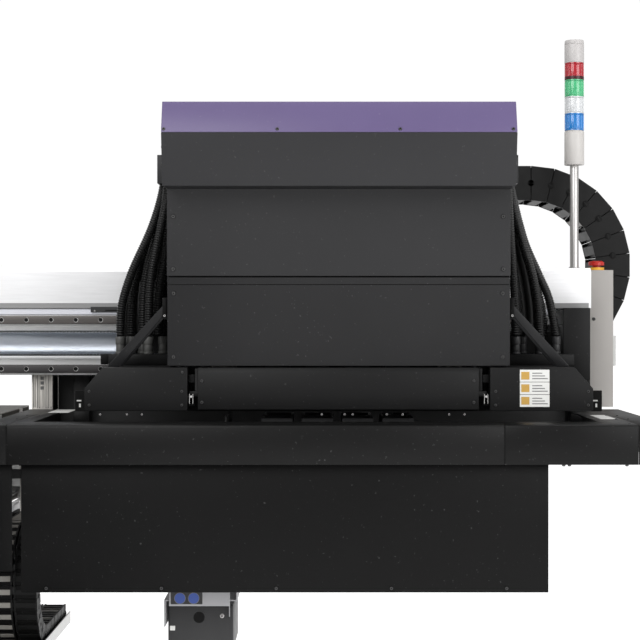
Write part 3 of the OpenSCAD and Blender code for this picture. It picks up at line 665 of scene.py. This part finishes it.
def smooth_route(points, spacing):
    """Evenly spaced points on a smooth curve through the route's points."""
    pts = [at(*p) for p in points]
    fine = []
    for i in range(len(pts) - 1):
        before, a, b, after = pts[max(i - 1, 0)], pts[i], pts[i + 1], pts[min(i + 2, len(pts) - 1)]
        for k in range(24):
            t = k / 24
            square = (2 * before - 5 * a + 4 * b - after) * t * t
            fine.append(
                0.5 * (2 * a + (b - before) * t + square + (3 * a - before - 3 * b + after) * t ** 3)
            )
    fine.append(pts[-1])
    even, walked, target = [fine[0]], 0.0, spacing
    for a, b in zip(fine, fine[1:]):
        length = (b - a).length
        while walked + length >= target:
            even.append(a.lerp(b, (target - walked) / length))
            target += spacing
        walked += length
    return even


def ribbed_hose(bm, points, radius, rib, waist=0.84, sides=12):
    """A corrugated hose: rings that swell and shrink along the route, bridged one to the next."""
    route = smooth_route(points, rib / 2)
    last = None
    for i, point in enumerate(route):
        ahead = route[min(i + 1, len(route) - 1)] - route[max(i - 1, 0)]
        turn = ahead.to_track_quat("Z", "X").to_matrix().to_4x4()
        size = radius if i % 2 else radius * waist
        made = bmesh.ops.create_circle(
            bm, cap_ends=False, segments=sides, radius=size, matrix=shift(point) @ turn
        )
        ring = list({e for v in made["verts"] for e in v.link_edges})
        if last:
            bmesh.ops.bridge_loops(bm, edges=last + ring)
        last = ring


# ---- operators


class PRINTER_OT_base(bpy.types.Operator):
    """Base frame, feet, vacuum table, deck, blowers and cabinet."""

    bl_idname = "printer.base"
    bl_label = "Base and table"

    def execute(self, context):
        dress(
            "base",
            ("base_frame", "frame", 0.004, 2),
            ("levelling_feet", "zinc", 0.0015, 2),
            ("vacuum_table", "table", 0.0015, 2),
            ("rear_deck", "deck", 0.0008, 1),
            ("gantry_rails", "rail", 0.0015, 2),
            ("vacuum_blowers", "black_plastic", 0.004, 3),
            ("control_cabinet", "frame", 0.003, 2),
            ("gantry_chain_tray", "zinc", 0.0006, 1),
        )
        dressed("ball_screw_left", "ball_screw_left", "steel", 0.0008, 1)
        dressed("ball_screw_right", "ball_screw_right", "steel", 0.0008, 1)
        return {"FINISHED"}


class PRINTER_OT_beam(bpy.types.Operator):
    """Beam, rails, toothed belt, covers, legs and chain tray."""

    bl_idname = "printer.beam"
    bl_label = "Beam and legs"

    def execute(self, context):
        dress(
            "gantry",
            ("beam", "beam", 0.0015, 2),
            ("beam_top_cover", "cover_sheet", 0.0025, 3),
            ("beam_right_cover", "black", 0.0012, 2),
            ("beam_left_housing", "frame", 0.003, 2),
            ("gantry_side_plates", "alu", 0.0012, 2),
            ("gantry_runners", "zinc", 0.001, 2),
            ("carriage_chain_tray", "zinc", 0.0006, 1),
            ("drive_motor", "black_plastic", 0.002, 2),
        )
        dressed("drive_pulley", "drive_pulley", "alu", 0.001, 2)
        dressed("idler_pulley", "idler_pulley", "alu", 0.001, 2)
        self.rails()
        self.belt()
        self.trim()
        return {"FINISHED"}

    def rails(self):
        low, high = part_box("beam_rails")
        # The lower rail takes the darker copy of the rail steel as painted shade.
        for name, z, tone in (
            ("upper_rail", UPPER_RAIL_Z, "rail"), ("lower_rail", LOWER_RAIL_Z, "rail_dark")
        ):
            bm = bmesh.new()
            block(
                bm, (low[0], low[1], z - RAIL_HALF_HEIGHT), (high[0], high[1], z + RAIL_HALF_HEIGHT),
                0.0012, 2
            )
            count = int((high[0] - low[0] - 0.04) / RAIL_HOLE_PITCH)
            first = at(-770.8, 0, 0).x
            first -= RAIL_HOLE_PITCH * int((first - low[0] - 0.01) / RAIL_HOLE_PITCH)
            for i in range(count):
                x = first + RAIL_HOLE_PITCH * i
                # Each hole is a zinc ring under a near-black disc set a little up and to the left: the disc
                # is painted shade inside the hole, and the crescent of ring left showing below is a painted
                # highlight on its lip.
                drum(bm, shift((x, low[1], z)) @ FACE_FRONT, 0.0057, 0.0005, 20, material=1)
                drum(
                    bm, shift((x - 0.0003, low[1] - 0.0001, z + 0.0003)) @ FACE_FRONT, 0.0050,
                    0.0007, 20, material=2
                )
            finish_piece(
                bm, name, "gantry", [tone, "zinc", "skirt"], ["beam_rails"] if tone == "rail" else []
            )

    def belt(self):
        bm = merged_copy("drive_belt")
        low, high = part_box("drive_belt")
        margin = 0.04
        count = int((high[0] - low[0] - 2 * margin) / BELT_PITCH)
        for z in (1142, 1083):
            level = z / 1000
            inside = -1 if z > 1100 else 1
            for i in range(count):
                x = low[0] + margin + i * BELT_PITCH
                near, far = sorted((level + inside * 0.0012, level + inside * 0.0034))
                block(bm, (x, low[1], near), (x + BELT_PITCH / 2, high[1], far))
        finish_piece(bm, "toothed_belt", "gantry", "belt", ["drive_belt"])

    def trim(self):
        bm = bmesh.new()
        y = BEAM_FACE
        block(bm, at(BEAM_LEFT_END, 544.2, 1196.6), at(652, 545.8, 1209.5), 0.0005, 1, material=0)
        block(bm, at(BEAM_LEFT_END, y - 3.5, 1181), at(560, y - 0.2, 1196), 0.001, 1, material=1)
        block(bm, at(-556, y - 14, 1187), at(-380, y - 3.6, 1200.5), 0.0008, 1, material=2)
        for x in (-520, -440):
            block(bm, at(x, y - 14.4, 1190), at(x + 52, y - 13.9, 1193), material=3)
        front_screw(bm, (-546, y - 14, 1190.5), 0.0026, 0.0012, material=4)
        finish_piece(
            bm, "beam_trim", "gantry", ["lip", "strip", "black_plastic", "skirt", "steel", "skirt"]
        )
        bm = bmesh.new()
        steps = 10
        rows = []
        for i in range(steps + 1):
            turn = math.pi * i / steps
            depth, level = 555.2 + 9.5 * math.sin(turn), 1112.2 + 25.5 * math.cos(turn)
            rows.append([bm.verts.new(at(x, depth, level)) for x in (BEAM_LEFT_END, 560)])
        for upper, lower in zip(rows, rows[1:]):
            bm.faces.new((upper[0], lower[0], lower[1], upper[1]))
        bmesh.ops.solidify(bm, geom=bm.faces, thickness=-0.0008)
        bmesh.ops.recalc_face_normals(bm, faces=bm.faces)
        finish_piece(bm, "beam_channel", "gantry", "channel")
        bm = bmesh.new()
        for i in range(5):
            x = -702 + i * 10.2
            block(bm, at(x, 585.6, 955), at(x + 5.4, 587.2, 1034), 0.0006, 1)
        for z in (1026, 1014, 1002):
            block(bm, at(-685, 585.2, z - 4), at(-677, 586.6, z + 4), 0.0004, 1, material=2)
        for x in (-703.6, -693.4, -688, -672.5, -667, -660.5):
            block(bm, at(x, 586.2, 952), at(x + 1.6, 586.9, 1034), material=2)
        finish_piece(bm, "leg_grooves", "gantry", ["alu", "black_plastic", "grey_label"])


class PRINTER_OT_tower(bpy.types.Operator):
    """End post, stop button and signal tower."""

    bl_idname = "printer.tower"
    bl_label = "Post and tower"

    def execute(self, context):
        dress(
            "gantry",
            ("end_post", "post", 0.003, 3),
            ("estop_base", "yellow", 0.0012, 2),
        )
        dressed("estop_button", "estop_button", "red", 0.0015, 3)
        dressed("tower_pole", "gantry", "pole", 0.001, 2)
        low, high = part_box("tower_housing")
        x, y = (low[0] + high[0]) / 2, (low[1] + high[1]) / 2
        bm = bmesh.new()
        stack = [(1.5595, 1.6432, 0.0248, 0.0248, 0), (1.6432, 1.646, 0.0235, 0.0235, 0),
                 (1.8164, 1.8628, 0.0245, 0.0245, 1), (1.8628, 1.8733, 0.0245, 0.0238, 1)]
        for bottom, top, wide, wide_top, tone in stack:
            drum(
                bm, shift((x, y, (bottom + top) / 2)), wide, top - bottom, 40, top=wide_top,
                material=tone, edge=0.0009
            )
        drum(bm, shift((x, y, 1.731)), 0.006, 0.170, 16, material=0)
        finish_piece(bm, "tower_body", "gantry", ["tower", "cap"], ["tower_housing"])
        for i, tone in enumerate(("lens_blue", "lens_clear", "lens_green", "lens_red")):
            bm = bmesh.new()
            bottom = LENS_BOTTOM + i * LENS_PITCH
            drum(bm, shift((x, y, bottom + 0.0211)), 0.0236, 0.0362, 40, edge=0.001)
            drum(bm, shift((x, y, bottom + 0.0408)), 0.0243, 0.0026, 40)
            # The red lens gets a taller foot in the darker red copy, painted shade at its foot.
            shaded = tone == "lens_red"
            base = 0.0080 if shaded else 0.0026
            drum(
                bm, shift((x, y, bottom + base / 2)), 0.0243, base, 40,
                material=1 if shaded else 0
            )
            for k in range(36):
                turn = Matrix.Rotation(math.radians(10 * k), 4, "Z")
                place = shift(
                    (x, y, bottom + 0.0211)
                ) @ turn @ shift((0.0234, 0, 0))
                drum(bm, place, 0.0008, 0.034, 6)
            nodes = ["tower_lenses"] if i == 0 else []
            finish_piece(bm, "tower_" + tone, "gantry", [tone, "garnet"], nodes)
        bm = bmesh.new()
        front_screw(bm, (688, 685, 1171), 0.0046, material=1)
        drum(bm, shift(at(642, 704, 1299)), 0.0152, 0.0024, 32, material=1)
        for k in range(3):
            turn = Matrix.Rotation(math.radians(30 + 120 * k), 3, "Z")
            screw_head(bm, at(642, 704, 1300) + turn @ Vector((0.0118, 0, 0)), Matrix.Identity(4), 0.0020)
        finish_piece(bm, "post_screws", "gantry", ["steel", "black_plastic"])
        return {"FINISHED"}


class PRINTER_OT_station(bpy.types.Operator):
    """Maintenance station: covers, skirt, tray, caps, wiper and waste tank."""

    bl_idname = "printer.station"
    bl_label = "Maintenance station"

    def execute(self, context):
        dress(
            "gantry",
            ("station_frame", "black", 0.0012, 2),
            ("station_covers", "station", 0.0010, 2),
            ("station_skirt", "skirt", 0.0010, 2),
            ("station_back_panel", "back", 0.0006, 1),
            ("drip_tray", "sheet", 0.0006, 1),
            ("waste_holder", "sheet", 0.0006, 1),
            ("waste_tank", "black_plastic", 0.004, 3),
        )
        dressed("cap_tray", "cap_unit", "black_plastic", 0.0008, 1)
        dressed("wiper", "wiper", "rubber", 0.0006, 1)
        self.fixings()
        self.plates()
        return {"FINISHED"}

    def fixings(self):
        bm = bmesh.new()
        up = Matrix.Identity(4)
        for x in (-640, -668, 652, 678):
            for y in (32, 185, 312):
                screw_head(bm, at(x, y, STATION_TOP), up, 0.0032, 0.0016)
        down = Matrix.Rotation(math.pi, 4, "X")
        for x in (509, 521, 641):
            screw_head(bm, at(x, 5, 866.4), down, 0.0042, 0.0034)
        for x in (-575, -333, -92, 150, 392):
            front_screw(bm, (x, 23.8, 605), 0.0036, 0.0022)
        finish_piece(bm, "station_screws", "gantry", ["screw", "skirt"])

    def plates(self):
        bm = bmesh.new()
        block(bm, at(618, 190, STATION_TOP + 0.1), at(652, 330, STATION_TOP + 0.7), 0.0002, 1, material=0)
        for x in (385.5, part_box("station_covers")[0][0] * 1000 - 1585.75 + 56):
            block(bm, at(x - 1.4, -0.4, 868), at(x + 1.4, 0.2, 946), material=7)
        block(bm, at(-640, 430, STATION_TOP + 0.1), at(-592, 558, STATION_TOP + 0.7), 0.0002, 1, material=0)
        block(bm, at(-329, 148.0, 545.3), at(-196, 149.8, 597.5), 0.0006, 2, material=5)
        block(bm, at(-325, 147.2, 549.6), at(-256, 148.0, 596), 0.0003, 1, material=4)
        for x in (-305, -275):
            drum(bm, facing(x, 147.0, 562.7), 0.0126, 0.0008, 32, material=2)
            drum(bm, facing(x, 146.8, 562.7), 0.0114, 0.0010, 32, material=1)
        block(bm, at(-328.5, 169.0, 488.5), at(-317.5, 169.8, 498.5), 0.0002, 1, material=0)
        front_screw(bm, (-214.6, 169.8, 520.3), 0.0050, 0.0026, material=6)
        drum(bm, facing(-265, 169.7, 517), 0.0138, 0.0010, 40, material=4)
        drum(bm, facing(-265, 169.5, 517), 0.0124, 0.0014, 40, material=7)
        block(bm, at(-199, 160, 520), at(-197, 166, 548), 0.0004, 1, material=5)
        # Two near-black plates of the skirt paint are painted shade: one closes the gap at the right end of
        # the station's back panel, the other lies on the pillar's side face.
        block(bm, at(610, 661.5, 870), at(621, 663.5, 1034), 0.0004, 1, material=7)
        block(bm, at(-654.9, 588, 868), at(-654.2, 660, 1034), 0.0002, 1, material=7)
        finish_piece(
            bm, "station_plates", "gantry",
            ["label", "disc", "grey_label", "steel", "black_plastic", "sheet", "cap", "skirt"]
        )


class PRINTER_OT_chains(bpy.types.Operator):
    """Energy chains of the carriage and of the gantry."""

    bl_idname = "printer.chains"
    bl_label = "Energy chains"

    def execute(self, context):
        sizes = context.scene.printer_chains
        y = (780 + 945) / 2
        up = Vector((0, 0, 1))
        common = (0.088, 0.165, sizes.plate, sizes.disc)
        bm = bmesh.new()
        straight_run(
            bm, at(190.5, y, CHAIN_TOP_Z), at(CHAIN_BEND_X, y, CHAIN_TOP_Z), -up, sizes.pitch, *common
        )
        piece = finish_piece(
            bm, "carriage_chain_top_run", "carriage", ["chain", "bar", "skirt"], ["carriage_chain_upper"],
        )
        bpy.context.view_layer.update()
        piece.parent = None
        at(190, y, 1521)
        at(543, y, 1521)
        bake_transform(piece)
        bm = bmesh.new()
        straight_run(
            bm, at(CHAIN_END_X, y, CHAIN_LOW_Z), at(CHAIN_BEND_X, y, CHAIN_LOW_Z), up, sizes.pitch, *common
        )
        piece = finish_piece(
            bm, "carriage_chain_bottom_run", "gantry", ["chain", "bar", "skirt"], ["carriage_chain_lower"],
        )
        at(-1430, y, 1098)
        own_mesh(piece)
        bm = bmesh.new()
        bend_run(
            bm, at(CHAIN_BEND_X, y, (CHAIN_TOP_Z + CHAIN_LOW_Z) / 2), (CHAIN_TOP_Z - CHAIN_LOW_Z) / 2000,
            90, -90, 13, Vector((0, -1, 0)), Vector((1, 0, 0)), *common
        )
        finish_piece(
            bm, "carriage_chain_bend", "carriage_chain_loop", ["chain", "bar", "skirt"],
            ["carriage_chain_loop"]
        )
        self.gantry_chains(up)
        return {"FINISHED"}

    def gantry_chains(self, up):
        runs = {"upper": bmesh.new(), "lower": bmesh.new(), "bend": bmesh.new()}
        for x0, wide in ((-692, 38), (-651, 50)):
            x = x0 + wide / 2
            common = (0.044, wide / 1000, 0.004, 0.005)
            straight_run(
                runs["upper"], at(x, 197, 705), at(x, 899, 705), -up, 0.024, *common, 3 if wide == 38 else 1
            )
            straight_run(
                runs["lower"], at(x, 197, 475), at(x, 450, 475), up, 0.024, *common, 3 if wide == 38 else 1
            )
            bend_run(
                runs["bend"], at(x, 197, 590), 0.115, -90, 90, 15, Vector((1, 0, 0)), Vector((0, -1, 0)),
                *common, 3 if wide == 38 else 1
            )
        paints = ["chain", "bar", "skirt"]
        top = finish_piece(
            runs["upper"], "gantry_chain_top_run", "gantry", paints, ["gantry_chain_upper"]
        )
        at(-650, 899.7, 705)
        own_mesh(top)
        low = finish_piece(
            runs["lower"], "gantry_chain_bottom_run", "base", paints, ["gantry_chain_lower"],
        )
        low.parent = None
        at(-650, 450, 475)
        at(-650, 197, 475)
        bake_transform(low)
        finish_piece(
            runs["bend"], "gantry_chain_bend", "gantry_chain_loop", paints, ["gantry_chain_loop"],
        )


class PRINTER_OT_carriage(bpy.types.Operator):
    """Carriage plate, lift, chain arm and the parts inside the hood."""

    bl_idname = "printer.carriage"
    bl_label = "Carriage"

    def execute(self, context):
        dress(
            "carriage",
            ("carriage_plate", "alu", 0.0012, 2),
            ("chain_arm", "zinc", 0.0012, 2),
            ("lift_unit", "zinc", 0.001, 1),
        )
        dressed("lift_screw", "lift_screw", "steel", 0.0006, 1)
        dress(
            "head",
            ("head_base_plate", "black", 0.0010, 2),
            ("print_heads", "black_plastic", 0.0010, 2),
            ("ink_tanks", "black_plastic", 0.0020, 2),
        )
        return {"FINISHED"}


class PRINTER_OT_covers(bpy.types.Operator):
    """Hood, crown, fascia, front panels, lamp boxes, braces and fixings."""

    bl_idname = "printer.covers"
    bl_label = "Head covers"

    def execute(self, context):
        fold = context.scene.printer_covers.fold
        dress(
            "head",
            ("cover_shell", "fascia", fold, 2),
            ("cover_fascia", "fascia", fold, 3),
            ("cover_crown", "crown", fold, 3),
            ("base_panel", "black", fold, 2),
            ("lamp_boxes", "black", fold, 3),
            ("hose_manifolds", "black", fold, 2),
            ("braces", "lower", 0.001, 2),
        )
        self.panels(fold)
        self.fixings()
        return {"FINISHED"}

    def panels(self, fold):
        bm = merged_copy("cover_front_panels")
        for face in bm.faces:
            face.material_index = 0 if face.calc_center_median().z > 1.2635 else 1
        soften(bm, fold, 2)
        finish_piece(bm, "front_panels", "head", ["upper", "lower"], ["cover_front_panels"])

    def fixings(self):
        bm = bmesh.new()
        left, right = HOOD_LEFT, HOOD_RIGHT
        for z in (1395, 1280):
            front_screw(bm, (left + 14, UPPER_FACE, z), 0.0050, 0.0030, material=4)
            front_screw(bm, (right - 16, UPPER_FACE, z), 0.0050, 0.0030, material=4)
        for z in (1227, 1087):
            front_screw(bm, (left + 14, LOWER_FACE, z), 0.0046, 0.0028, material=4)
            front_screw(bm, (right - 16, LOWER_FACE, z), 0.0046, 0.0028, material=4)
        for x in (-259, 337):
            for z in (1035, 988):
                front_screw(bm, (x, UPPER_FACE, z), 0.0038, 0.0024, material=4)
        for x in (-506, -303, 385, 588):
            for z in (982, 1012):
                front_screw(bm, (x, UPPER_FACE, z), 0.0034, 0.0020, material=4)
        front_screw(bm, (-302, 171, 1054), 0.0034, 0.0020, material=4)
        lean = Matrix.Rotation(math.radians(90 - 21), 4, "X")
        for x in (-333, -91, 171, 412):
            screw_head(bm, at(x, 70.1, 1575), lean, 0.0042, 0.0024, material=4)
        for side in (-1, 1):
            x = left - 3 if side < 0 else right + 3
            turn = Matrix.Rotation(math.radians(90 * side), 4, "Y")
            for z in (1541, 1505):
                screw_head(bm, at(x, 106, z), turn, 0.0040, 0.0030, material=4)
        for x in (-484, -425, -392, 4, 54, 72, 147, 182, 284, 318):
            front_screw(bm, (x, 186, 961), 0.0030, 0.0022)
        finish_piece(
            bm, "head_screws", "head", ["steel", "skirt", "black", "skirt", "screw", "skirt"],
            ["cover_screws"]
        )
        self.small_plates()

    def small_plates(self):
        bm = bmesh.new()
        for z in (978, 1005.5, 1033):
            block(bm, at(438, 170.2, z), at(503, 170.9, z + 26.5), 0.0003, 1, material=0)
            block(bm, at(441, 169.9, z + 5), at(459, 170.3, z + 22), 0.0001, 1, material=1)
            for k in range(3):
                block(bm, at(465, 169.9, z + 6 + 6 * k), at(499 - 6 * k, 170.3, z + 8 + 6 * k), material=2)
        # A near-black plate behind the gap between the front panels and a thin dark strip along the fold of
        # the lower panel are painted shade.
        block(bm, at(-330, 182.5, 1250), at(412, 184.5, 1276), 0.0003, 1, material=3)
        block(bm, at(-334, 181.5, 1245.4), at(416, 182.3, 1247.4), material=3)
        for side in (-1, 1):
            near, far = sorted((41 + 558.2 * side, 41 + 581.5 * side))
            middle = (near + far) / 2
            block(bm, at(near, 196, 967), at(far, 199, 1013), 0.0004, 1, material=3)
            block(bm, at(middle - 3, 195.2, 976), at(middle + 1, 196, 984), material=0)
            block(bm, at(middle - 8, 195.2, 989), at(middle + 2, 196, 992), material=0)
        block(bm, at(-482, 461, 1089.3), at(-345, 464, 1142), 0.0006, 1, material=3)
        block(bm, at(440, 461, 1089.3), at(566, 464, 1142), 0.0006, 1, material=3)
        block(bm, at(-513, 405, 1064.6), at(-489.2, 460, 1088.5), 0.0012, 2, material=3)
        for middle in (-283.5, 365.5):
            block(bm, at(middle - 16, 244, 966), at(middle + 16, 247, 1066), 0.0003, 1, material=3)
            for x in (middle - 4.5, middle + 3.0):
                block(bm, at(x, 184, 984), at(x + 1.6, 194, 1006), 0.0003, 1, material=4)
            drum(bm, facing(middle, 186, 1000), 0.0026, 0.008, 12, material=4)
            block(bm, at(middle - 7, 188, 980), at(middle + 7, 195, 984), 0.0004, 1, material=3)
        for x in (-346, 428):
            block(bm, at(x - 5, 226, 1172), at(x + 5, 232, 1218), 0.0010, 2, material=3)
            front_screw(bm, (x, 226, 1178), 0.0036, 0.0030, material=4)
        finish_piece(
            bm, "head_small_plates", "head", ["label", "amber", "grey_label", "skirt", "steel", "skirt"]
        )


class PRINTER_OT_hoses(bpy.types.Operator):
    """Ribbed ink hoses and their cuffs on both sides of the hood."""

    bl_idname = "printer.hoses"
    bl_label = "Hoses"

    def execute(self, context):
        sizes = context.scene.printer_hoses
        bm = bmesh.new()
        for number, points in enumerate(LEFT_HOSES + RIGHT_HOSES):
            plain = number % 3 == 2
            ribbed_hose(
                bm, points, sizes.radius * (1.12 if plain else 1.0), sizes.rib * (4 if plain else 1),
                0.99 if plain else 0.84
            )
        finish_piece(bm, "ribbed_hoses", "head", "hose", ["hoses"])
        for side, routes, paint in (
            ("left", LEFT_HOSES[:LEFT_CUFFS], "cuff"), ("right", RIGHT_HOSES[:RIGHT_CUFFS], "black_plastic")
        ):
            bm = bmesh.new()
            for points in routes:
                x, y, _ = points[-1]
                for bottom, top, wide in ((1089.2, 1095, 11.5), (1095, 1112, 10.2), (1112, 1130, 11.4)):
                    drum(
                        bm, shift(at(x, y, (bottom + top) / 2)), wide / 1000,
                        (top - bottom) / 1000, 24, edge=0.0008
                    )
            finish_piece(bm, "hose_cuffs_" + side, "head", paint)
        return {"FINISHED"}


class PRINTER_OT_stage(bpy.types.Operator):
    """Pale floor, soft lights and the camera."""

    bl_idname = "printer.stage"
    bl_label = "Stage"

    def execute(self, context):
        scene = context.scene
        bm = bmesh.new()
        bmesh.ops.create_grid(bm, x_segments=1, y_segments=1, size=60.0)
        mesh = bpy.data.meshes.new("studio_floor")
        bm.to_mesh(mesh)
        bm.free()
        floor = bpy.data.objects.new("studio_floor", mesh)
        context.collection.objects.link(floor)
        pale = Paint("pale_floor")
        tone = pale.mix(pale.noise(0.4), (0.90, 0.90, 0.90), (0.94, 0.94, 0.94))
        mesh.materials.append(
            pale.set(Base_Color=tone, Roughness=0.9, Emission_Color=(1.0, 1.0, 1.0), Emission_Strength=0.62)
        )
        world = bpy.data.worlds.new("studio")
        world.use_nodes = True
        tree = world.node_tree
        tree.nodes["Background"].inputs["Color"].default_value = (1, 1, 1, 1)
        ray = tree.nodes.new("ShaderNodeLightPath")
        reach = tree.nodes.new("ShaderNodeMapRange")
        reach.inputs["To Min"].default_value = 0.55
        reach.inputs["To Max"].default_value = 1.02
        tree.links.new(ray.outputs["Is Camera Ray"], reach.inputs["Value"])
        tree.links.new(reach.outputs[0], tree.nodes["Background"].inputs["Strength"])
        scene.world = world
        scene.view_settings.view_transform = "Standard"
        for name, place, target, size, power in (
            ("key", (-0.6, -3.6, 3.6), (1.6, 0.4, 1.2), 3.0, 145.0),
            ("fill", (5.2, -3.2, 2.6), (1.6, 0.4, 1.2), 3.0, 140.0),
            ("top", (1.6, 0.6, 4.8), (1.6, 0.6, 1.0), 3.4, 90.0),
        ):
            light = bpy.data.lights.new(name, "AREA")
            light.size = size
            light.energy = power
            lamp = bpy.data.objects.new(name, light)
            lamp.location = place
            lamp.rotation_euler = (Vector(target) - Vector(place)).to_track_quat("-Z", "Y").to_euler()
            context.collection.objects.link(lamp)
        camera_data = bpy.data.cameras.new("camera")
        camera_data.lens = 90.0
        camera_data.sensor_width = 36.0
        camera_data.clip_end = 100.0
        camera = bpy.data.objects.new("camera", camera_data)
        camera.location = at(0, -CAMERA_DISTANCE, CAMERA_HEIGHT)
        camera.rotation_euler = (math.radians(90), 0, 0)
        context.collection.objects.link(camera)
        scene.camera = camera
        return {"FINISHED"}


class PRINTER_PT_panel(bpy.types.Panel):
    """Lists the printer's pieces in the sidebar."""

    bl_label = "Flatbed printer"
    bl_idname = "PRINTER_PT_panel"
    bl_space_type = "VIEW_3D"
    bl_region_type = "UI"
    bl_category = "Printer"

    def draw(self, context):
        for group in (
            context.scene.printer_covers, context.scene.printer_chains, context.scene.printer_hoses
        ):
            for key in group.__annotations__:
                self.layout.prop(group, key)
        for made in OPERATORS:
            self.layout.operator(made.bl_idname)


OPERATORS = (
    PRINTER_OT_stage,
    PRINTER_OT_base,
    PRINTER_OT_beam,
    PRINTER_OT_tower,
    PRINTER_OT_station,
    PRINTER_OT_chains,
    PRINTER_OT_carriage,
    PRINTER_OT_covers,
    PRINTER_OT_hoses,
)
CLASSES = (CoverSettings, ChainSettings, HoseSettings, *OPERATORS, PRINTER_PT_panel)


def register():
    for made in CLASSES:
        bpy.utils.register_class(made)
    bpy.types.Scene.printer_covers = bpy.props.PointerProperty(type=CoverSettings)
    bpy.types.Scene.printer_chains = bpy.props.PointerProperty(type=ChainSettings)
    bpy.types.Scene.printer_hoses = bpy.props.PointerProperty(type=HoseSettings)


def unregister():
    for name in ("printer_covers", "printer_chains", "printer_hoses"):
        delattr(bpy.types.Scene, name)
    for made in reversed(CLASSES):
        bpy.utils.unregister_class(made)


def main():
    register()
    make_paints(bpy.context.scene.printer_covers)
    bpy.ops.printer.stage()
    bpy.ops.printer.base()
    bpy.ops.printer.beam()
    bpy.ops.printer.tower()
    bpy.ops.printer.station()
    bpy.ops.printer.chains()
    bpy.ops.printer.carriage()
    bpy.ops.printer.covers()
    bpy.ops.printer.hoses()
    bpy.context.view_layer.update()


if __name__ == "__main__":
    main()
